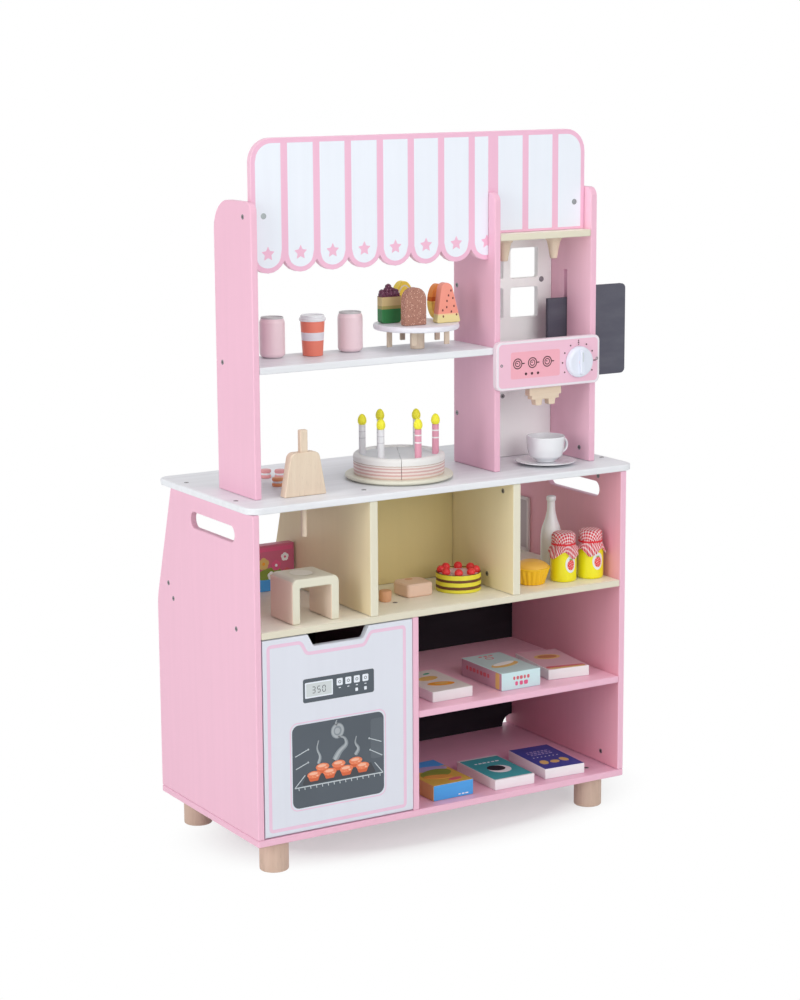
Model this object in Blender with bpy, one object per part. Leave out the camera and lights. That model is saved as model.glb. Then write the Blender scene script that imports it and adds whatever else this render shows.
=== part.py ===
"""Toy ice cream stand: a child's play counter of painted boards.

Every length is in metres. The stand's own coordinates run from the outer face of the left side panel
(x, to the right), from the front edge of the side panels (y, to the back) and from the floor (z, up).
place() moves them to the model's origin, on the floor below the middle of the whole object.
"""

import math

import bmesh
import bpy
from mathutils import Matrix, Vector

# Boards
BOARD = 0.0095
DIVIDER = 0.012
CHALK_BOARD = 0.006
EASE = 0.001
GAP = 0.0003
SLIP = 0.0005

# Base cabinet
STAND_WIDTH = 0.600
STAND_DEPTH = 0.293
FOOT_HEIGHT = 0.0445
FOOT_RADIUS = 0.020
FOOT_INSET_X = 0.040
FOOT_INSET_Y = 0.032
SIDE_HEIGHT = 0.4412
SIDE_TOP_DEPTH = 0.2425
SLANT_HEIGHT = 0.165
SLANT_ROUND = 0.090
HANDLE_LENGTH = 0.130
HANDLE_HEIGHT = 0.022
HANDLE_BACK = 0.118
HANDLE_DROP = 0.0345

# Counter top
COUNTER_LEFT = 0.005
COUNTER_RIGHT = 0.014
COUNTER_FRONT = 0.0015
COUNTER_DEPTH = 0.2785
COUNTER_CORNER = 0.018
COUNTER_EASE = 0.002

# Inside of the cabinet
LOWER_ROOM = 0.274
CUBBY_SHELF_DEPTH = 0.2815
DIVIDER_LEFT_X = 0.29417 * STAND_WIDTH
DIVIDER_RIGHT_X = 0.67783 * STAND_WIDTH
DIVIDER_INSET = 0.006
CUBBY_BACK_Y = 0.1565
LOWER_DIVIDER_X = 0.40367 * STAND_WIDTH
LOWER_SHELF_LIFT = 0.1314
BACK_BOARD_Y = 0.275
BACK_NOTCH = 0.018

# Oven front
OVEN_SIDE_GAP = 0.0012
OVEN_TOP_GAP = 0.0015
OVEN_BOTTOM_GAP = 0.0008
OVEN_NOTCH_TOP = 0.094
OVEN_NOTCH_BOTTOM = 0.077
OVEN_NOTCH_DEPTH = 0.0165
OVEN_NOTCH_ROUND = 0.004
PIN_RADIUS = 0.002
PIN_IN_BOARD = 0.0055
PIN_IN_OVEN = 0.010

# Uprights
UPRIGHT_LEFT_X = 0.0298
PARTITION_X = 0.67817 * STAND_WIDTH
UPRIGHT_RIGHT_X = STAND_WIDTH - 0.0312
UPRIGHT_Y = 0.048
UPRIGHT_DEPTH = 0.1058
UPRIGHT_HEIGHT = 0.3900
PARTITION_HEIGHT = 0.3878
UPRIGHT_ROUND_REAR = 0.040
UPRIGHT_ROUND_FRONT = 0.013

# Shelves and panels between the uprights
UPPER_SHELF_LIFT = 0.1656
NOZZLE_SHELF_LIFT = 0.3214
PANE_WIDTH = 0.047
PANE_HEIGHT = 0.0430
PANE_BAR_X = 0.0125
PANE_BAR_Z = 0.0135
PANE_TOP_DROP = 0.0205
PANE_SHIFT = -0.0013
PANE_ROUND = 0.003

# Awning board
AWNING_SETBACK = 0.017
AWNING_TOP = 0.4706
AWNING_CORNER = 0.031
LOBE_PITCH = 0.0485
LOBE_JUNCTION = 0.3110
LOBE_SAG = 0.0155
AWNING_SLOT_SLIP = 0.0006

# Nozzles, spout and control panel
NOZZLE_SPACING = 0.084
NOZZLE_Y = 0.091
NOZZLE_LENGTH = 0.032
NOZZLE_TOP_RADIUS = 0.012
NOZZLE_COLLAR = 0.006
NOZZLE_TIP_RADIUS = 0.005
PANEL_HEIGHT = 0.0685
PANEL_LIFT = 0.1149
PANEL_ROUND = 0.009
PANEL_OVER = 0.0037
PANEL_OVER_RIGHT = 0.0001
KNOB_RADIUS = 0.0205
KNOB_THICK = 0.012
KNOB_FROM_RIGHT = 0.0370
KNOB_DROP = 0.0020
KNOB_GRIP_WIDTH = 0.007
KNOB_GRIP_DEEP = 0.004
STUD_RADIUS = 0.004
STUD_LENGTH = 0.009
SPOUT_WIDTH = 0.054
SPOUT_THICK = 0.012
SPOUT_TOP_HIDDEN = 0.020
SPOUT_BODY_DROP = 0.0125
SPOUT_STEP_DROP = 0.0055
SPOUT_STEP_IN = 0.004
SPOUT_TOOTH_DROP = 0.0085
SPOUT_TOOTH_WIDTH = 0.0120
SPOUT_TOOTH_SPACING = 0.0225

# Chalk sign in the right upright
SIGN_THICK = 0.006
SIGN_WIDTH = 0.095
SIGN_TOP = 0.2445
SIGN_HEIGHT = 0.131
SIGN_ROUND = 0.007
SIGN_TAB_WIDTH = 0.0315
SIGN_TAB_TOP = 0.2300
SIGN_TAB_HEIGHT = 0.095
SIGN_NOTCH_DEPTH = 0.035
SLOT_WIDTH = 0.0082
SLOT_BACK = 0.062
SLOT_TOP = 0.2700

# Ice cream press on the counter
PRESS_X = 0.1012
PRESS_Y = 0.047
PRESS_WIDTH = 0.0635
PRESS_SHOULDER = 0.042
PRESS_HEIGHT = 0.0585
PRESS_THICK = 0.014
PRESS_ROUND = 0.009
STICK_WIDTH = 0.011
STICK_THICK = 0.0085
STICK_ABOVE = 0.030
DOWEL_RADIUS = 0.004
DOWEL_BELOW = 0.046

# Play pieces, each given from the wall, divider or edge it stands beside
ARCH_WIDTH = 0.0715
ARCH_DEPTH = 0.063
ARCH_HEIGHT = 0.0613
ARCH_WALL = 0.0120
ARCH_TOP = 0.0125
ARCH_ROUND = 0.009
ARCH_DIMPLE_RADIUS = 0.016
ARCH_DIMPLE_DEPTH = 0.003
ARCH_FROM_LEFT = 0.0550
ARCH_Y = 0.0142

TRAY_RADIUS = 0.0595
TRAY_THICK = 0.008
TRAY_LIFT = 0.0282
TRAY_EDGE = 0.0015
TRAY_FOOT_RADIUS = 0.0092
TRAY_FOOT_SHIFT = 0.0040
TRAY_FROM_PARTITION = 0.0949
TRAY_Y = 0.101
POP_THICK = 0.013
STICK_POP_WIDTH = 0.0080
STICK_POP_THICK = 0.003
STICK_POP_LENGTH = 0.029

CAN_RADIUS = 0.0173
CAN_HEIGHT = 0.0548
CAN_LEFT_SHARE = 0.1733
CAN_LEFT_Y = 0.131
CAN_RIGHT_SHARE = 0.4965
CAN_RIGHT_Y = 0.127
CUP_BASE_RADIUS = 0.0134
CUP_TOP_RADIUS = 0.0161
CUP_LID_RADIUS = 0.0184
CUP_HEIGHT = 0.055
CUP_SHARE = 0.3256
CUP_Y = 0.120

CAKE_PLATE_RADIUS = 0.075
CAKE_PLATE_HEIGHT = 0.007
CAKE_RADIUS = 0.0635
CAKE_HEIGHT = 0.029
CAKE_FROM_PARTITION = 0.1298
CAKE_Y = 0.0915
CANDLE_RADIUS = 0.0042
CANDLE_HEIGHT = 0.0405
CANDLE_RING = 0.0505
FLAME_HEIGHT = 0.013

SAUCER_RADIUS = 0.043
SAUCER_HEIGHT = 0.0055
SAUCER_FROM_RIGHT = 0.0619
SAUCER_Y = 0.068
TEACUP_RADIUS = 0.0275
TEACUP_FOOT = 0.0125
TEACUP_HEIGHT = 0.037
TEACUP_WALL = 0.0028

SLICE_WIDTH = 0.0465
SLICE_DEPTH = 0.043
SLICE_THICK = 0.0185
SLICE_FROM_RIGHT = 0.1117
SLICE_Y = 0.086
BERRY_CAKE_RADIUS = 0.032
BERRY_CAKE_HEIGHT = 0.026
BERRY_COUNT = 8
BERRY_RADIUS = 0.0064
BERRY_CAKE_FROM_RIGHT = 0.042
BERRY_CAKE_Y = 0.0765
TART_BASE_RADIUS = 0.0192
TART_RIM_RADIUS = 0.0270
TART_HEIGHT = 0.024
TART_DOME = 0.010
TART_FROM_RIGHT = 0.1183
TART_Y = 0.052
BOTTLE_RADIUS = 0.0152
BOTTLE_NECK_RADIUS = 0.0056
BOTTLE_HEIGHT = 0.110
BOTTLE_FROM_RIGHT = 0.046
BOTTLE_Y = 0.107
JAR_RADIUS = 0.019
JAR_BODY_HEIGHT = 0.045
JAR_SKIRT_RADIUS = 0.0218
JAR_CAP_RADIUS = 0.0165
JAR_HEIGHT = 0.070
JAR_LEFT_FROM_RIGHT = 0.0683
JAR_LEFT_Y = 0.0440
JAR_RIGHT_FROM_RIGHT = 0.0240
JAR_RIGHT_Y = 0.0400

CARD_WIDTH = 0.066
CARD_LENGTH = 0.105
CARD_THIN = 0.0150
CARD_THICK = 0.0225
CARD_BROAD = 0.0255
CARD_UPPER_SHARE = (0.1092, 0.4427, 0.7084)
CARD_UPPER_Y = (0.024, 0.021, 0.035)
CARD_UPPER_TURN = (0.0, 0.0, -7.0)
CARD_LOWER_SHARE = (0.1004, 0.3955, 0.6597)
CARD_LOWER_Y = (0.018, 0.013, 0.018)
CARD_LOWER_TURN = (0.0, -1.5, -3.5)
PINK_CARD_Y = 0.208
PINK_CARD_FROM_DIVIDER = 0.003

# Heights and places that follow from the sizes above
BASE_TOP = FOOT_HEIGHT + BOARD
COUNTER_Z = BASE_TOP + SIDE_HEIGHT
COUNTER_TOP = COUNTER_Z + BOARD
INNER_LEFT = BOARD
INNER_RIGHT = STAND_WIDTH - BOARD
CUBBY_SHELF_Z = BASE_TOP + LOWER_ROOM
CUBBY_FLOOR = CUBBY_SHELF_Z + BOARD
LOWER_SHELF_Z = BASE_TOP + LOWER_SHELF_LIFT
LOWER_SHELF_TOP = LOWER_SHELF_Z + BOARD
UPPER_SHELF_Z = COUNTER_TOP + UPPER_SHELF_LIFT
UPPER_SHELF_TOP = UPPER_SHELF_Z + BOARD
NOZZLE_SHELF_Z = COUNTER_TOP + NOZZLE_SHELF_LIFT
NOZZLE_SHELF_TOP = NOZZLE_SHELF_Z + BOARD
UPRIGHT_REAR = UPRIGHT_Y + UPRIGHT_DEPTH
AWNING_Y = UPRIGHT_Y + AWNING_SETBACK
AWNING_Z = COUNTER_TOP + AWNING_TOP
BAY_LEFT = PARTITION_X + BOARD
BAY_RIGHT = UPRIGHT_RIGHT_X
BAY_MIDDLE = (BAY_LEFT + BAY_RIGHT) / 2
PANEL_LEFT = PARTITION_X - PANEL_OVER
PANEL_WIDTH = UPRIGHT_RIGHT_X + BOARD + PANEL_OVER_RIGHT - PANEL_LEFT
PANEL_Z = COUNTER_TOP + PANEL_LIFT
PANEL_Y = UPRIGHT_Y - GAP - BOARD
SIGN_Y = UPRIGHT_Y + SLOT_BACK - SIGN_THICK / 2
SIGN_INNER = UPRIGHT_RIGHT_X + BOARD + SLIP
SIGN_RIGHT = SIGN_INNER + SIGN_WIDTH
SLOT_BOTTOM = SIGN_TAB_TOP - SIGN_TAB_HEIGHT + SIGN_NOTCH_DEPTH - GAP
TRAY_X = PARTITION_X - TRAY_FROM_PARTITION
TRAY_Z = UPPER_SHELF_TOP + TRAY_LIFT
TRAY_TOP = TRAY_Z + TRAY_THICK
CAKE_X = PARTITION_X - CAKE_FROM_PARTITION
WHOLE_LEFT = -COUNTER_LEFT
WHOLE_RIGHT = max(SIGN_RIGHT, STAND_WIDTH + COUNTER_RIGHT)
WHOLE_FRONT = -COUNTER_FRONT
WHOLE_REAR = STAND_DEPTH
ORIGIN = Vector(((WHOLE_LEFT + WHOLE_RIGHT) / 2, (WHOLE_FRONT + WHOLE_REAR) / 2, 0.0))

# Colours: red, green, blue in linear light, roughness, metallic
PINK = ("pink_paint", (0.80, 0.46, 0.58), 0.45, 0.0)
WHITE = ("white_paint", (0.82, 0.83, 0.87), 0.40, 0.0)
CREAM = ("cream_paint", (0.84, 0.76, 0.56), 0.45, 0.0)
CHALK = ("chalk_grey", (0.045, 0.048, 0.062), 0.75, 0.0)
WOOD = ("bare_wood", (0.70, 0.48, 0.32), 0.60, 0.0)
METAL = ("pin_steel", (0.60, 0.60, 0.60), 0.35, 1.0)
PALE = ("pale_pink", (0.83, 0.45, 0.55), 0.40, 0.0)
CORAL = ("coral", (0.78, 0.16, 0.12), 0.40, 0.0)
GREEN = ("ice_green", (0.05, 0.22, 0.10), 0.45, 0.0)
CHOCOLATE = ("chocolate", (0.30, 0.13, 0.11), 0.50, 0.0)
MELON = ("melon", (0.80, 0.26, 0.18), 0.45, 0.0)
YELLOW = ("yellow", (0.82, 0.62, 0.06), 0.40, 0.0)
ORANGE = ("orange", (0.80, 0.32, 0.04), 0.40, 0.0)
PEACH = ("peach", (0.80, 0.50, 0.36), 0.50, 0.0)
CARD_TEAL = ("card_teal", (0.04, 0.35, 0.34), 0.50, 0.0)
CARD_NAVY = ("card_navy", (0.03, 0.05, 0.25), 0.50, 0.0)
CARD_SKY = ("card_sky", (0.25, 0.55, 0.65), 0.50, 0.0)
CARD_ROSE = ("card_rose", (0.70, 0.30, 0.38), 0.50, 0.0)


def place(x, y, z):
    """Return the model's coordinates of a point given in the stand's own."""
    return Vector((x, y, z)) - ORIGIN


def paint(obj, finish):
    """Give an object its own material."""
    name, colour, roughness, metallic = finish
    material = bpy.data.materials.new(f"{obj.name}_{name}")
    material.use_nodes = True
    shader = material.node_tree.nodes["Principled BSDF"]
    shader.inputs["Base Color"].default_value = (*colour, 1.0)
    shader.inputs["Roughness"].default_value = roughness
    shader.inputs["Metallic"].default_value = metallic
    material.diffuse_color = (*colour, 1.0)
    obj.data.materials.clear()
    obj.data.materials.append(material)
    return obj


def add(name, mesh_maker, origin, finish=None):
    """Make an object of a bmesh, with its origin at a point of the stand."""
    mesh = bpy.data.meshes.new(name)
    bmesh.ops.recalc_face_normals(mesh_maker, faces=mesh_maker.faces)
    mesh_maker.to_mesh(mesh)
    mesh_maker.free()
    obj = bpy.data.objects.new(name, mesh)
    obj.location = place(*origin)
    bpy.context.scene.collection.objects.link(obj)
    if finish:
        paint(obj, finish)
    return obj


def cutter(name, mesh_maker, origin):
    """Make an object that only cuts or joins, and is left out of the model."""
    obj = add(name, mesh_maker, origin)
    obj.hide_render = True
    obj.display_type = "WIRE"
    return obj


def boolean(obj, tool, operation="DIFFERENCE"):
    """Cut a tool out of an object, or join it on."""
    modifier = obj.modifiers.new(f"{operation.lower()}_{tool.name}", "BOOLEAN")
    modifier.object = tool
    modifier.operation = operation
    modifier.solver = "EXACT"
    return obj


def ease(obj, width=EASE, segments=1, angle=50.0):
    """Ease the sharp edges of an object."""
    modifier = obj.modifiers.new("eased_edges", "BEVEL")
    modifier.width = width
    modifier.segments = segments
    modifier.limit_method = "ANGLE"
    modifier.angle_limit = math.radians(angle)
    modifier.use_clamp_overlap = True
    return obj


def smooth(obj, angle=35.0):
    """Shade the round faces of an object smooth."""
    obj.data.shade_smooth()
    obj.data.set_sharp_from_angle(angle=math.radians(angle))
    return obj


def block(size, low=(0.0, 0.0, 0.0)):
    """Return a box of a size from its lowest corner."""
    bm = bmesh.new()
    bmesh.ops.create_cube(bm, size=1.0)
    middle = Vector(low) + Vector(size) / 2
    bmesh.ops.scale(bm, vec=Vector(size), verts=bm.verts)
    bmesh.ops.translate(bm, vec=middle, verts=bm.verts)
    return bm


def arc(centre, radius, start, end, steps):
    """Return points along an arc, angles in degrees."""
    points = []
    for i in range(steps + 1):
        angle = math.radians(start + (end - start) * i / steps)
        x = centre[0] + radius * math.cos(angle)
        y = centre[1] + radius * math.sin(angle)
        points.append((x, y))
    return points


def rounded(width, height, radii, steps=5):
    """Return the outline of a rectangle, corner radii from lower left, anticlockwise."""
    corners = ((0.0, 0.0, 180.0), (width, 0.0, 270.0), (width, height, 0.0), (0.0, height, 90.0))
    inward = ((1, 1), (-1, 1), (-1, -1), (1, -1))
    outline = []
    for (x, y, start), (sx, sy), radius in zip(corners, inward, radii):
        if radius <= 0.0:
            outline.append((x, y))
            continue
        centre = (x + sx * radius, y + sy * radius)
        outline.extend(arc(centre, radius, start, start + 90.0, steps))
    return outline


def fillet(before, corner, after, radius, steps=6):
    """Return the points of an arc that rounds one corner of an outline."""
    corner = Vector(corner)
    to_before = (Vector(before) - corner).normalized()
    to_after = (Vector(after) - corner).normalized()
    half = to_before.angle(to_after) / 2
    reach = radius / math.tan(half)
    centre = corner + (to_before + to_after).normalized() * (radius / math.sin(half))
    first = corner + to_before * reach - centre
    last = corner + to_after * reach - centre
    turn = first.angle_signed(last)
    points = []
    for i in range(steps + 1):
        spoke = first.copy()
        spoke.rotate(Matrix.Rotation(-turn * i / steps, 2))
        points.append(tuple(centre + spoke))
    return points


def slab(outline, thickness, plane):
    """Extrude an outline: plane XY grows up, XZ grows back, YZ grows right."""
    bm = bmesh.new()
    if plane == "XY":
        verts = [bm.verts.new((a, b, 0.0)) for a, b in outline]
        push = Vector((0.0, 0.0, thickness))
    elif plane == "XZ":
        verts = [bm.verts.new((a, 0.0, b)) for a, b in outline]
        push = Vector((0.0, thickness, 0.0))
    else:
        verts = [bm.verts.new((0.0, a, b)) for a, b in outline]
        push = Vector((thickness, 0.0, 0.0))
    face = bm.faces.new(verts)
    grown = bmesh.ops.extrude_face_region(bm, geom=[face], use_keep_orig=True)
    moved = [item for item in grown["geom"] if isinstance(item, bmesh.types.BMVert)]
    bmesh.ops.translate(bm, vec=push, verts=moved)
    return bm


def turned(profile, segments=24):
    """Spin a profile of (radius, height) points from axis to axis about Z."""
    bm = bmesh.new()
    rings = []
    for radius, height in profile:
        if radius == 0.0:
            rings.append([bm.verts.new((0.0, 0.0, height))])
            continue
        ring = []
        for i in range(segments):
            angle = 2 * math.pi * i / segments
            ring.append(bm.verts.new((radius * math.cos(angle), radius * math.sin(angle), height)))
        rings.append(ring)
    for low, high in zip(rings, rings[1:]):
        for i in range(segments):
            j = (i + 1) % segments
            if len(low) == 1:
                bm.faces.new((low[0], high[j], high[i]))
            elif len(high) == 1:
                bm.faces.new((low[i], low[j], high[0]))
            else:
                bm.faces.new((low[i], low[j], high[j], high[i]))
    return bm


def cylinder(radius, length, axis="Z", segments=16):
    """Return a round bar from the origin along an axis."""
    bm = turned([(0.0, 0.0), (radius, 0.0), (radius, length), (0.0, length)], segments)
    if axis == "X":
        bmesh.ops.rotate(bm, matrix=Matrix.Rotation(math.radians(90), 3, "Y"), verts=bm.verts)
    elif axis == "Y":
        bmesh.ops.rotate(bm, matrix=Matrix.Rotation(math.radians(-90), 3, "X"), verts=bm.verts)
    return bm


def joined(*parts):
    """Put several bmeshes into one, moved by their offsets."""
    whole = bmesh.new()
    for bm, offset in parts:
        bmesh.ops.translate(bm, vec=Vector(offset), verts=bm.verts)
        mesh = bpy.data.meshes.new("scratch")
        bm.to_mesh(mesh)
        bm.free()
        whole.from_mesh(mesh)
        bpy.data.meshes.remove(mesh)
    return whole


def board(name, low, high, finish):
    """Make a flat board between two corners of the stand, with eased edges."""
    size = [high[i] - low[i] for i in range(3)]
    return ease(add(name, block(size), low, finish))


def side_rear(z):
    """Return how far back the side panels reach at a height above the floor."""
    bend = COUNTER_Z - SLANT_HEIGHT
    if z <= bend:
        return STAND_DEPTH
    return STAND_DEPTH - (STAND_DEPTH - SIDE_TOP_DEPTH) * (z - bend) / SLANT_HEIGHT


# Base cabinet

def slanted_outline(bottom, top, inset):
    """Return the outline of a board whose rear edge leans forward, from the front lower corner."""
    bend = COUNTER_Z - SLANT_HEIGHT
    height = top - bottom
    upper = (side_rear(top) - inset, height)
    if bottom >= bend - EASE:
        return [(0.0, 0.0), (side_rear(bottom) - inset, 0.0), upper, (0.0, height)]
    corner = (STAND_DEPTH - inset, bend - bottom)
    lower = (STAND_DEPTH - inset, 0.0)
    return [(0.0, 0.0), lower] + fillet(lower, corner, upper, SLANT_ROUND) + [upper, (0.0, height)]


def make_side_panel(name, x, pin_face):
    """Make one side panel with its hand slot, and the hole of the oven's pin where it has one."""
    outline = slanted_outline(BASE_TOP + GAP, COUNTER_Z - GAP, 0.0)
    panel = add(name, slab(outline, BOARD, "YZ"), (x, 0.0, BASE_TOP + GAP), PINK)
    half = HANDLE_HEIGHT / 2
    slot = rounded(HANDLE_LENGTH, HANDLE_HEIGHT, (half, half, half, half), 6)
    low = (x - BOARD, HANDLE_BACK - HANDLE_LENGTH / 2, COUNTER_Z - HANDLE_DROP - half)
    boolean(panel, cutter(f"{name}_hand_slot", slab(slot, 3 * BOARD, "YZ"), low))
    ease(panel)
    if pin_face is not None:
        boolean(panel, pin_hole_cutter(f"{name}_pin_hole", pin_face - PIN_IN_BOARD - GAP))


def pin_hole_cutter(name, x):
    """Return a cutter for a pin's hole in a board, from x to the right."""
    hole = cylinder(PIN_RADIUS + SLIP / 2, PIN_IN_BOARD + 2 * GAP, "X", 12)
    return cutter(name, hole, (x, BOARD / 2, OVEN_AXIS_Z))


def make_base():
    """Make the feet, the bottom panel, the side panels and the counter top."""
    places = {
        "foot_front_left": (FOOT_INSET_X, FOOT_INSET_Y),
        "foot_front_right": (STAND_WIDTH - FOOT_INSET_X, FOOT_INSET_Y),
        "foot_rear_left": (FOOT_INSET_X, STAND_DEPTH - FOOT_INSET_Y),
        "foot_rear_right": (STAND_WIDTH - FOOT_INSET_X, STAND_DEPTH - FOOT_INSET_Y),
    }
    for name, (x, y) in places.items():
        rim = 2 * EASE
        top = FOOT_HEIGHT - GAP
        profile = [(0.0, 0.0), (FOOT_RADIUS - rim, 0.0), (FOOT_RADIUS, rim), (FOOT_RADIUS, top), (0.0, top)]
        smooth(add(name, turned(profile, 28), (x, y, 0.0), WOOD))

    board("bottom_panel", (0.0, 0.0, FOOT_HEIGHT), (STAND_WIDTH, STAND_DEPTH, BASE_TOP), PINK)
    make_side_panel("left_side_panel", 0.0, INNER_LEFT)
    make_side_panel("right_side_panel", INNER_RIGHT, None)

    width = COUNTER_LEFT + STAND_WIDTH + COUNTER_RIGHT
    outline = rounded(width, COUNTER_DEPTH, (COUNTER_CORNER,) * 4, 6)
    low = (-COUNTER_LEFT, -COUNTER_FRONT, COUNTER_Z)
    counter = add("counter_top", slab(outline, BOARD, "XY"), low, WHITE)
    hole = cylinder(DOWEL_RADIUS + SLIP, 3 * BOARD, "Z", 16)
    boolean(counter, cutter("counter_top_dowel_hole", hole, (PRESS_X, PRESS_Y, COUNTER_Z - BOARD)))
    ease(counter, COUNTER_EASE, 2)


# Inside of the cabinet

def make_inside():
    """Make the shelves, dividers and back boards of the cabinet."""
    left = INNER_LEFT + GAP
    right = INNER_RIGHT - GAP
    shelf_z = CUBBY_SHELF_Z
    board("cubby_shelf", (left, 0.0, shelf_z), (right, CUBBY_SHELF_DEPTH, CUBBY_FLOOR), CREAM)

    floor = CUBBY_FLOOR + GAP
    outline = slanted_outline(floor, COUNTER_Z - GAP, DIVIDER_INSET)
    for name, x in (("cubby_divider_left", DIVIDER_LEFT_X), ("cubby_divider_right", DIVIDER_RIGHT_X)):
        ease(add(name, slab(outline, DIVIDER, "YZ"), (x, 0.0, floor), CREAM))

    low = (DIVIDER_LEFT_X + DIVIDER + GAP, CUBBY_BACK_Y, floor)
    high = (DIVIDER_RIGHT_X - GAP, CUBBY_BACK_Y + BOARD, COUNTER_Z - GAP)
    board("cubby_back_panel", low, high, CREAM)

    back = BACK_BOARD_Y - GAP
    low = (LOWER_DIVIDER_X, 0.0, BASE_TOP + GAP)
    high = (LOWER_DIVIDER_X + BOARD, back, CUBBY_SHELF_Z - GAP)
    divider = add("lower_divider", block([high[i] - low[i] for i in range(3)]), low, PINK)
    ease(divider)
    boolean(divider, pin_hole_cutter("lower_divider_pin_hole", LOWER_DIVIDER_X - GAP))

    low = (LOWER_DIVIDER_X + BOARD + GAP, 0.0, LOWER_SHELF_Z)
    board("lower_shelf", low, (right, back, LOWER_SHELF_TOP), PINK)

    width = right - left
    height = LOWER_ROOM - 2 * GAP
    notch = BACK_NOTCH
    outline = arc((0.0, 0.0), notch, 90.0, 0.0, 5)
    outline += arc((width, 0.0), notch, 180.0, 90.0, 5)
    outline += [(width, height), (0.0, height)]
    low = (left, BACK_BOARD_Y, BASE_TOP + GAP)
    add("lower_back_panel", slab(outline, CHALK_BOARD, "XZ"), low, CHALK)


# Oven front, which drops open on two pins at its lower edge

OVEN_AXIS_Z = BASE_TOP + OVEN_BOTTOM_GAP + BOARD / 2
OVEN_LEFT = INNER_LEFT + OVEN_SIDE_GAP
OVEN_RIGHT = LOWER_DIVIDER_X - OVEN_SIDE_GAP
OVEN_TOP = CUBBY_SHELF_Z - OVEN_TOP_GAP


def make_oven():
    """Make the oven front with its finger notch, and its pins."""
    width = OVEN_RIGHT - OVEN_LEFT
    radius = BOARD / 2
    height = OVEN_TOP - OVEN_AXIS_Z
    side = arc((0.0, 0.0), radius, 180.0, 360.0, 8) + [(radius, height), (-radius, height)]
    origin = (OVEN_LEFT, radius, OVEN_AXIS_Z)
    oven = add("oven_door", slab(side, width, "YZ"), origin, WHITE)

    middle = width / 2
    wide = OVEN_NOTCH_TOP / 2
    narrow = OVEN_NOTCH_BOTTOM / 2
    floor = height - OVEN_NOTCH_DEPTH
    rise = 2 * OVEN_NOTCH_DEPTH
    spread = wide + (wide - narrow)
    left = [(middle - spread, floor + rise), (middle - narrow, floor), (middle + narrow, floor)]
    right = [(middle + narrow, floor), (middle + spread, floor + rise)]
    outline = [left[0]] + fillet(left[0], left[1], left[2], OVEN_NOTCH_ROUND, 3)
    outline += fillet(left[1], right[0], right[1], OVEN_NOTCH_ROUND, 3) + [right[1]]
    low = (OVEN_LEFT, -BOARD, OVEN_AXIS_Z)
    boolean(oven, cutter("oven_door_notch", slab(outline, 3 * BOARD, "XZ"), low))

    bore = PIN_IN_OVEN + GAP
    for side_name, x in (("left", OVEN_LEFT - GAP), ("right", OVEN_RIGHT - bore)):
        hole = cylinder(PIN_RADIUS + SLIP / 2, bore + GAP, "X", 12)
        boolean(oven, cutter(f"oven_door_{side_name}_bore", hole, (x, radius, OVEN_AXIS_Z)))

    length = PIN_IN_BOARD + OVEN_SIDE_GAP + PIN_IN_OVEN
    starts = {
        "oven_pin_left": INNER_LEFT - PIN_IN_BOARD,
        "oven_pin_right": OVEN_RIGHT - PIN_IN_OVEN,
    }
    for name, x in starts.items():
        smooth(add(name, cylinder(PIN_RADIUS, length, "X", 12), (x, radius, OVEN_AXIS_Z), METAL))


# Uprights, shelves and panels above the counter

def upright_outline(height):
    """Return the outline of an upright, rounded more at the back of its top than at the front."""
    return rounded(UPRIGHT_DEPTH, height, (0.0, 0.0, UPRIGHT_ROUND_REAR, UPRIGHT_ROUND_FRONT), 7)


def make_uprights():
    """Make the two uprights and the partition between them."""
    base = COUNTER_TOP + GAP
    outline = upright_outline(UPRIGHT_HEIGHT - GAP)
    ease(add("left_upright", slab(outline, BOARD, "YZ"), (UPRIGHT_LEFT_X, UPRIGHT_Y, base), PINK))

    origin = (UPRIGHT_RIGHT_X, UPRIGHT_Y, base)
    right = add("right_upright", slab(outline, BOARD, "YZ"), origin, PINK)
    slot_height = SLOT_TOP - SLOT_BOTTOM
    middle = UPRIGHT_Y + SLOT_BACK
    low = (UPRIGHT_RIGHT_X - BOARD, middle - SLOT_WIDTH / 2, COUNTER_TOP + SLOT_BOTTOM)
    slot = block((3 * BOARD, SLOT_WIDTH, slot_height))
    boolean(right, cutter("right_upright_sign_slot", slot, low))
    ease(right, EASE * 0.7)

    outline = upright_outline(PARTITION_HEIGHT - GAP)
    origin = (PARTITION_X, UPRIGHT_Y, base)
    partition = add("partition_upright", slab(outline, BOARD, "YZ"), origin, PINK)
    low = (PARTITION_X - BOARD, AWNING_Y - AWNING_SLOT_SLIP, NOZZLE_SHELF_TOP)
    slot = block((3 * BOARD, BOARD + 2 * AWNING_SLOT_SLIP, UPRIGHT_HEIGHT))
    ease(partition)
    boolean(partition, cutter("partition_awning_slot", slot, low))


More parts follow.
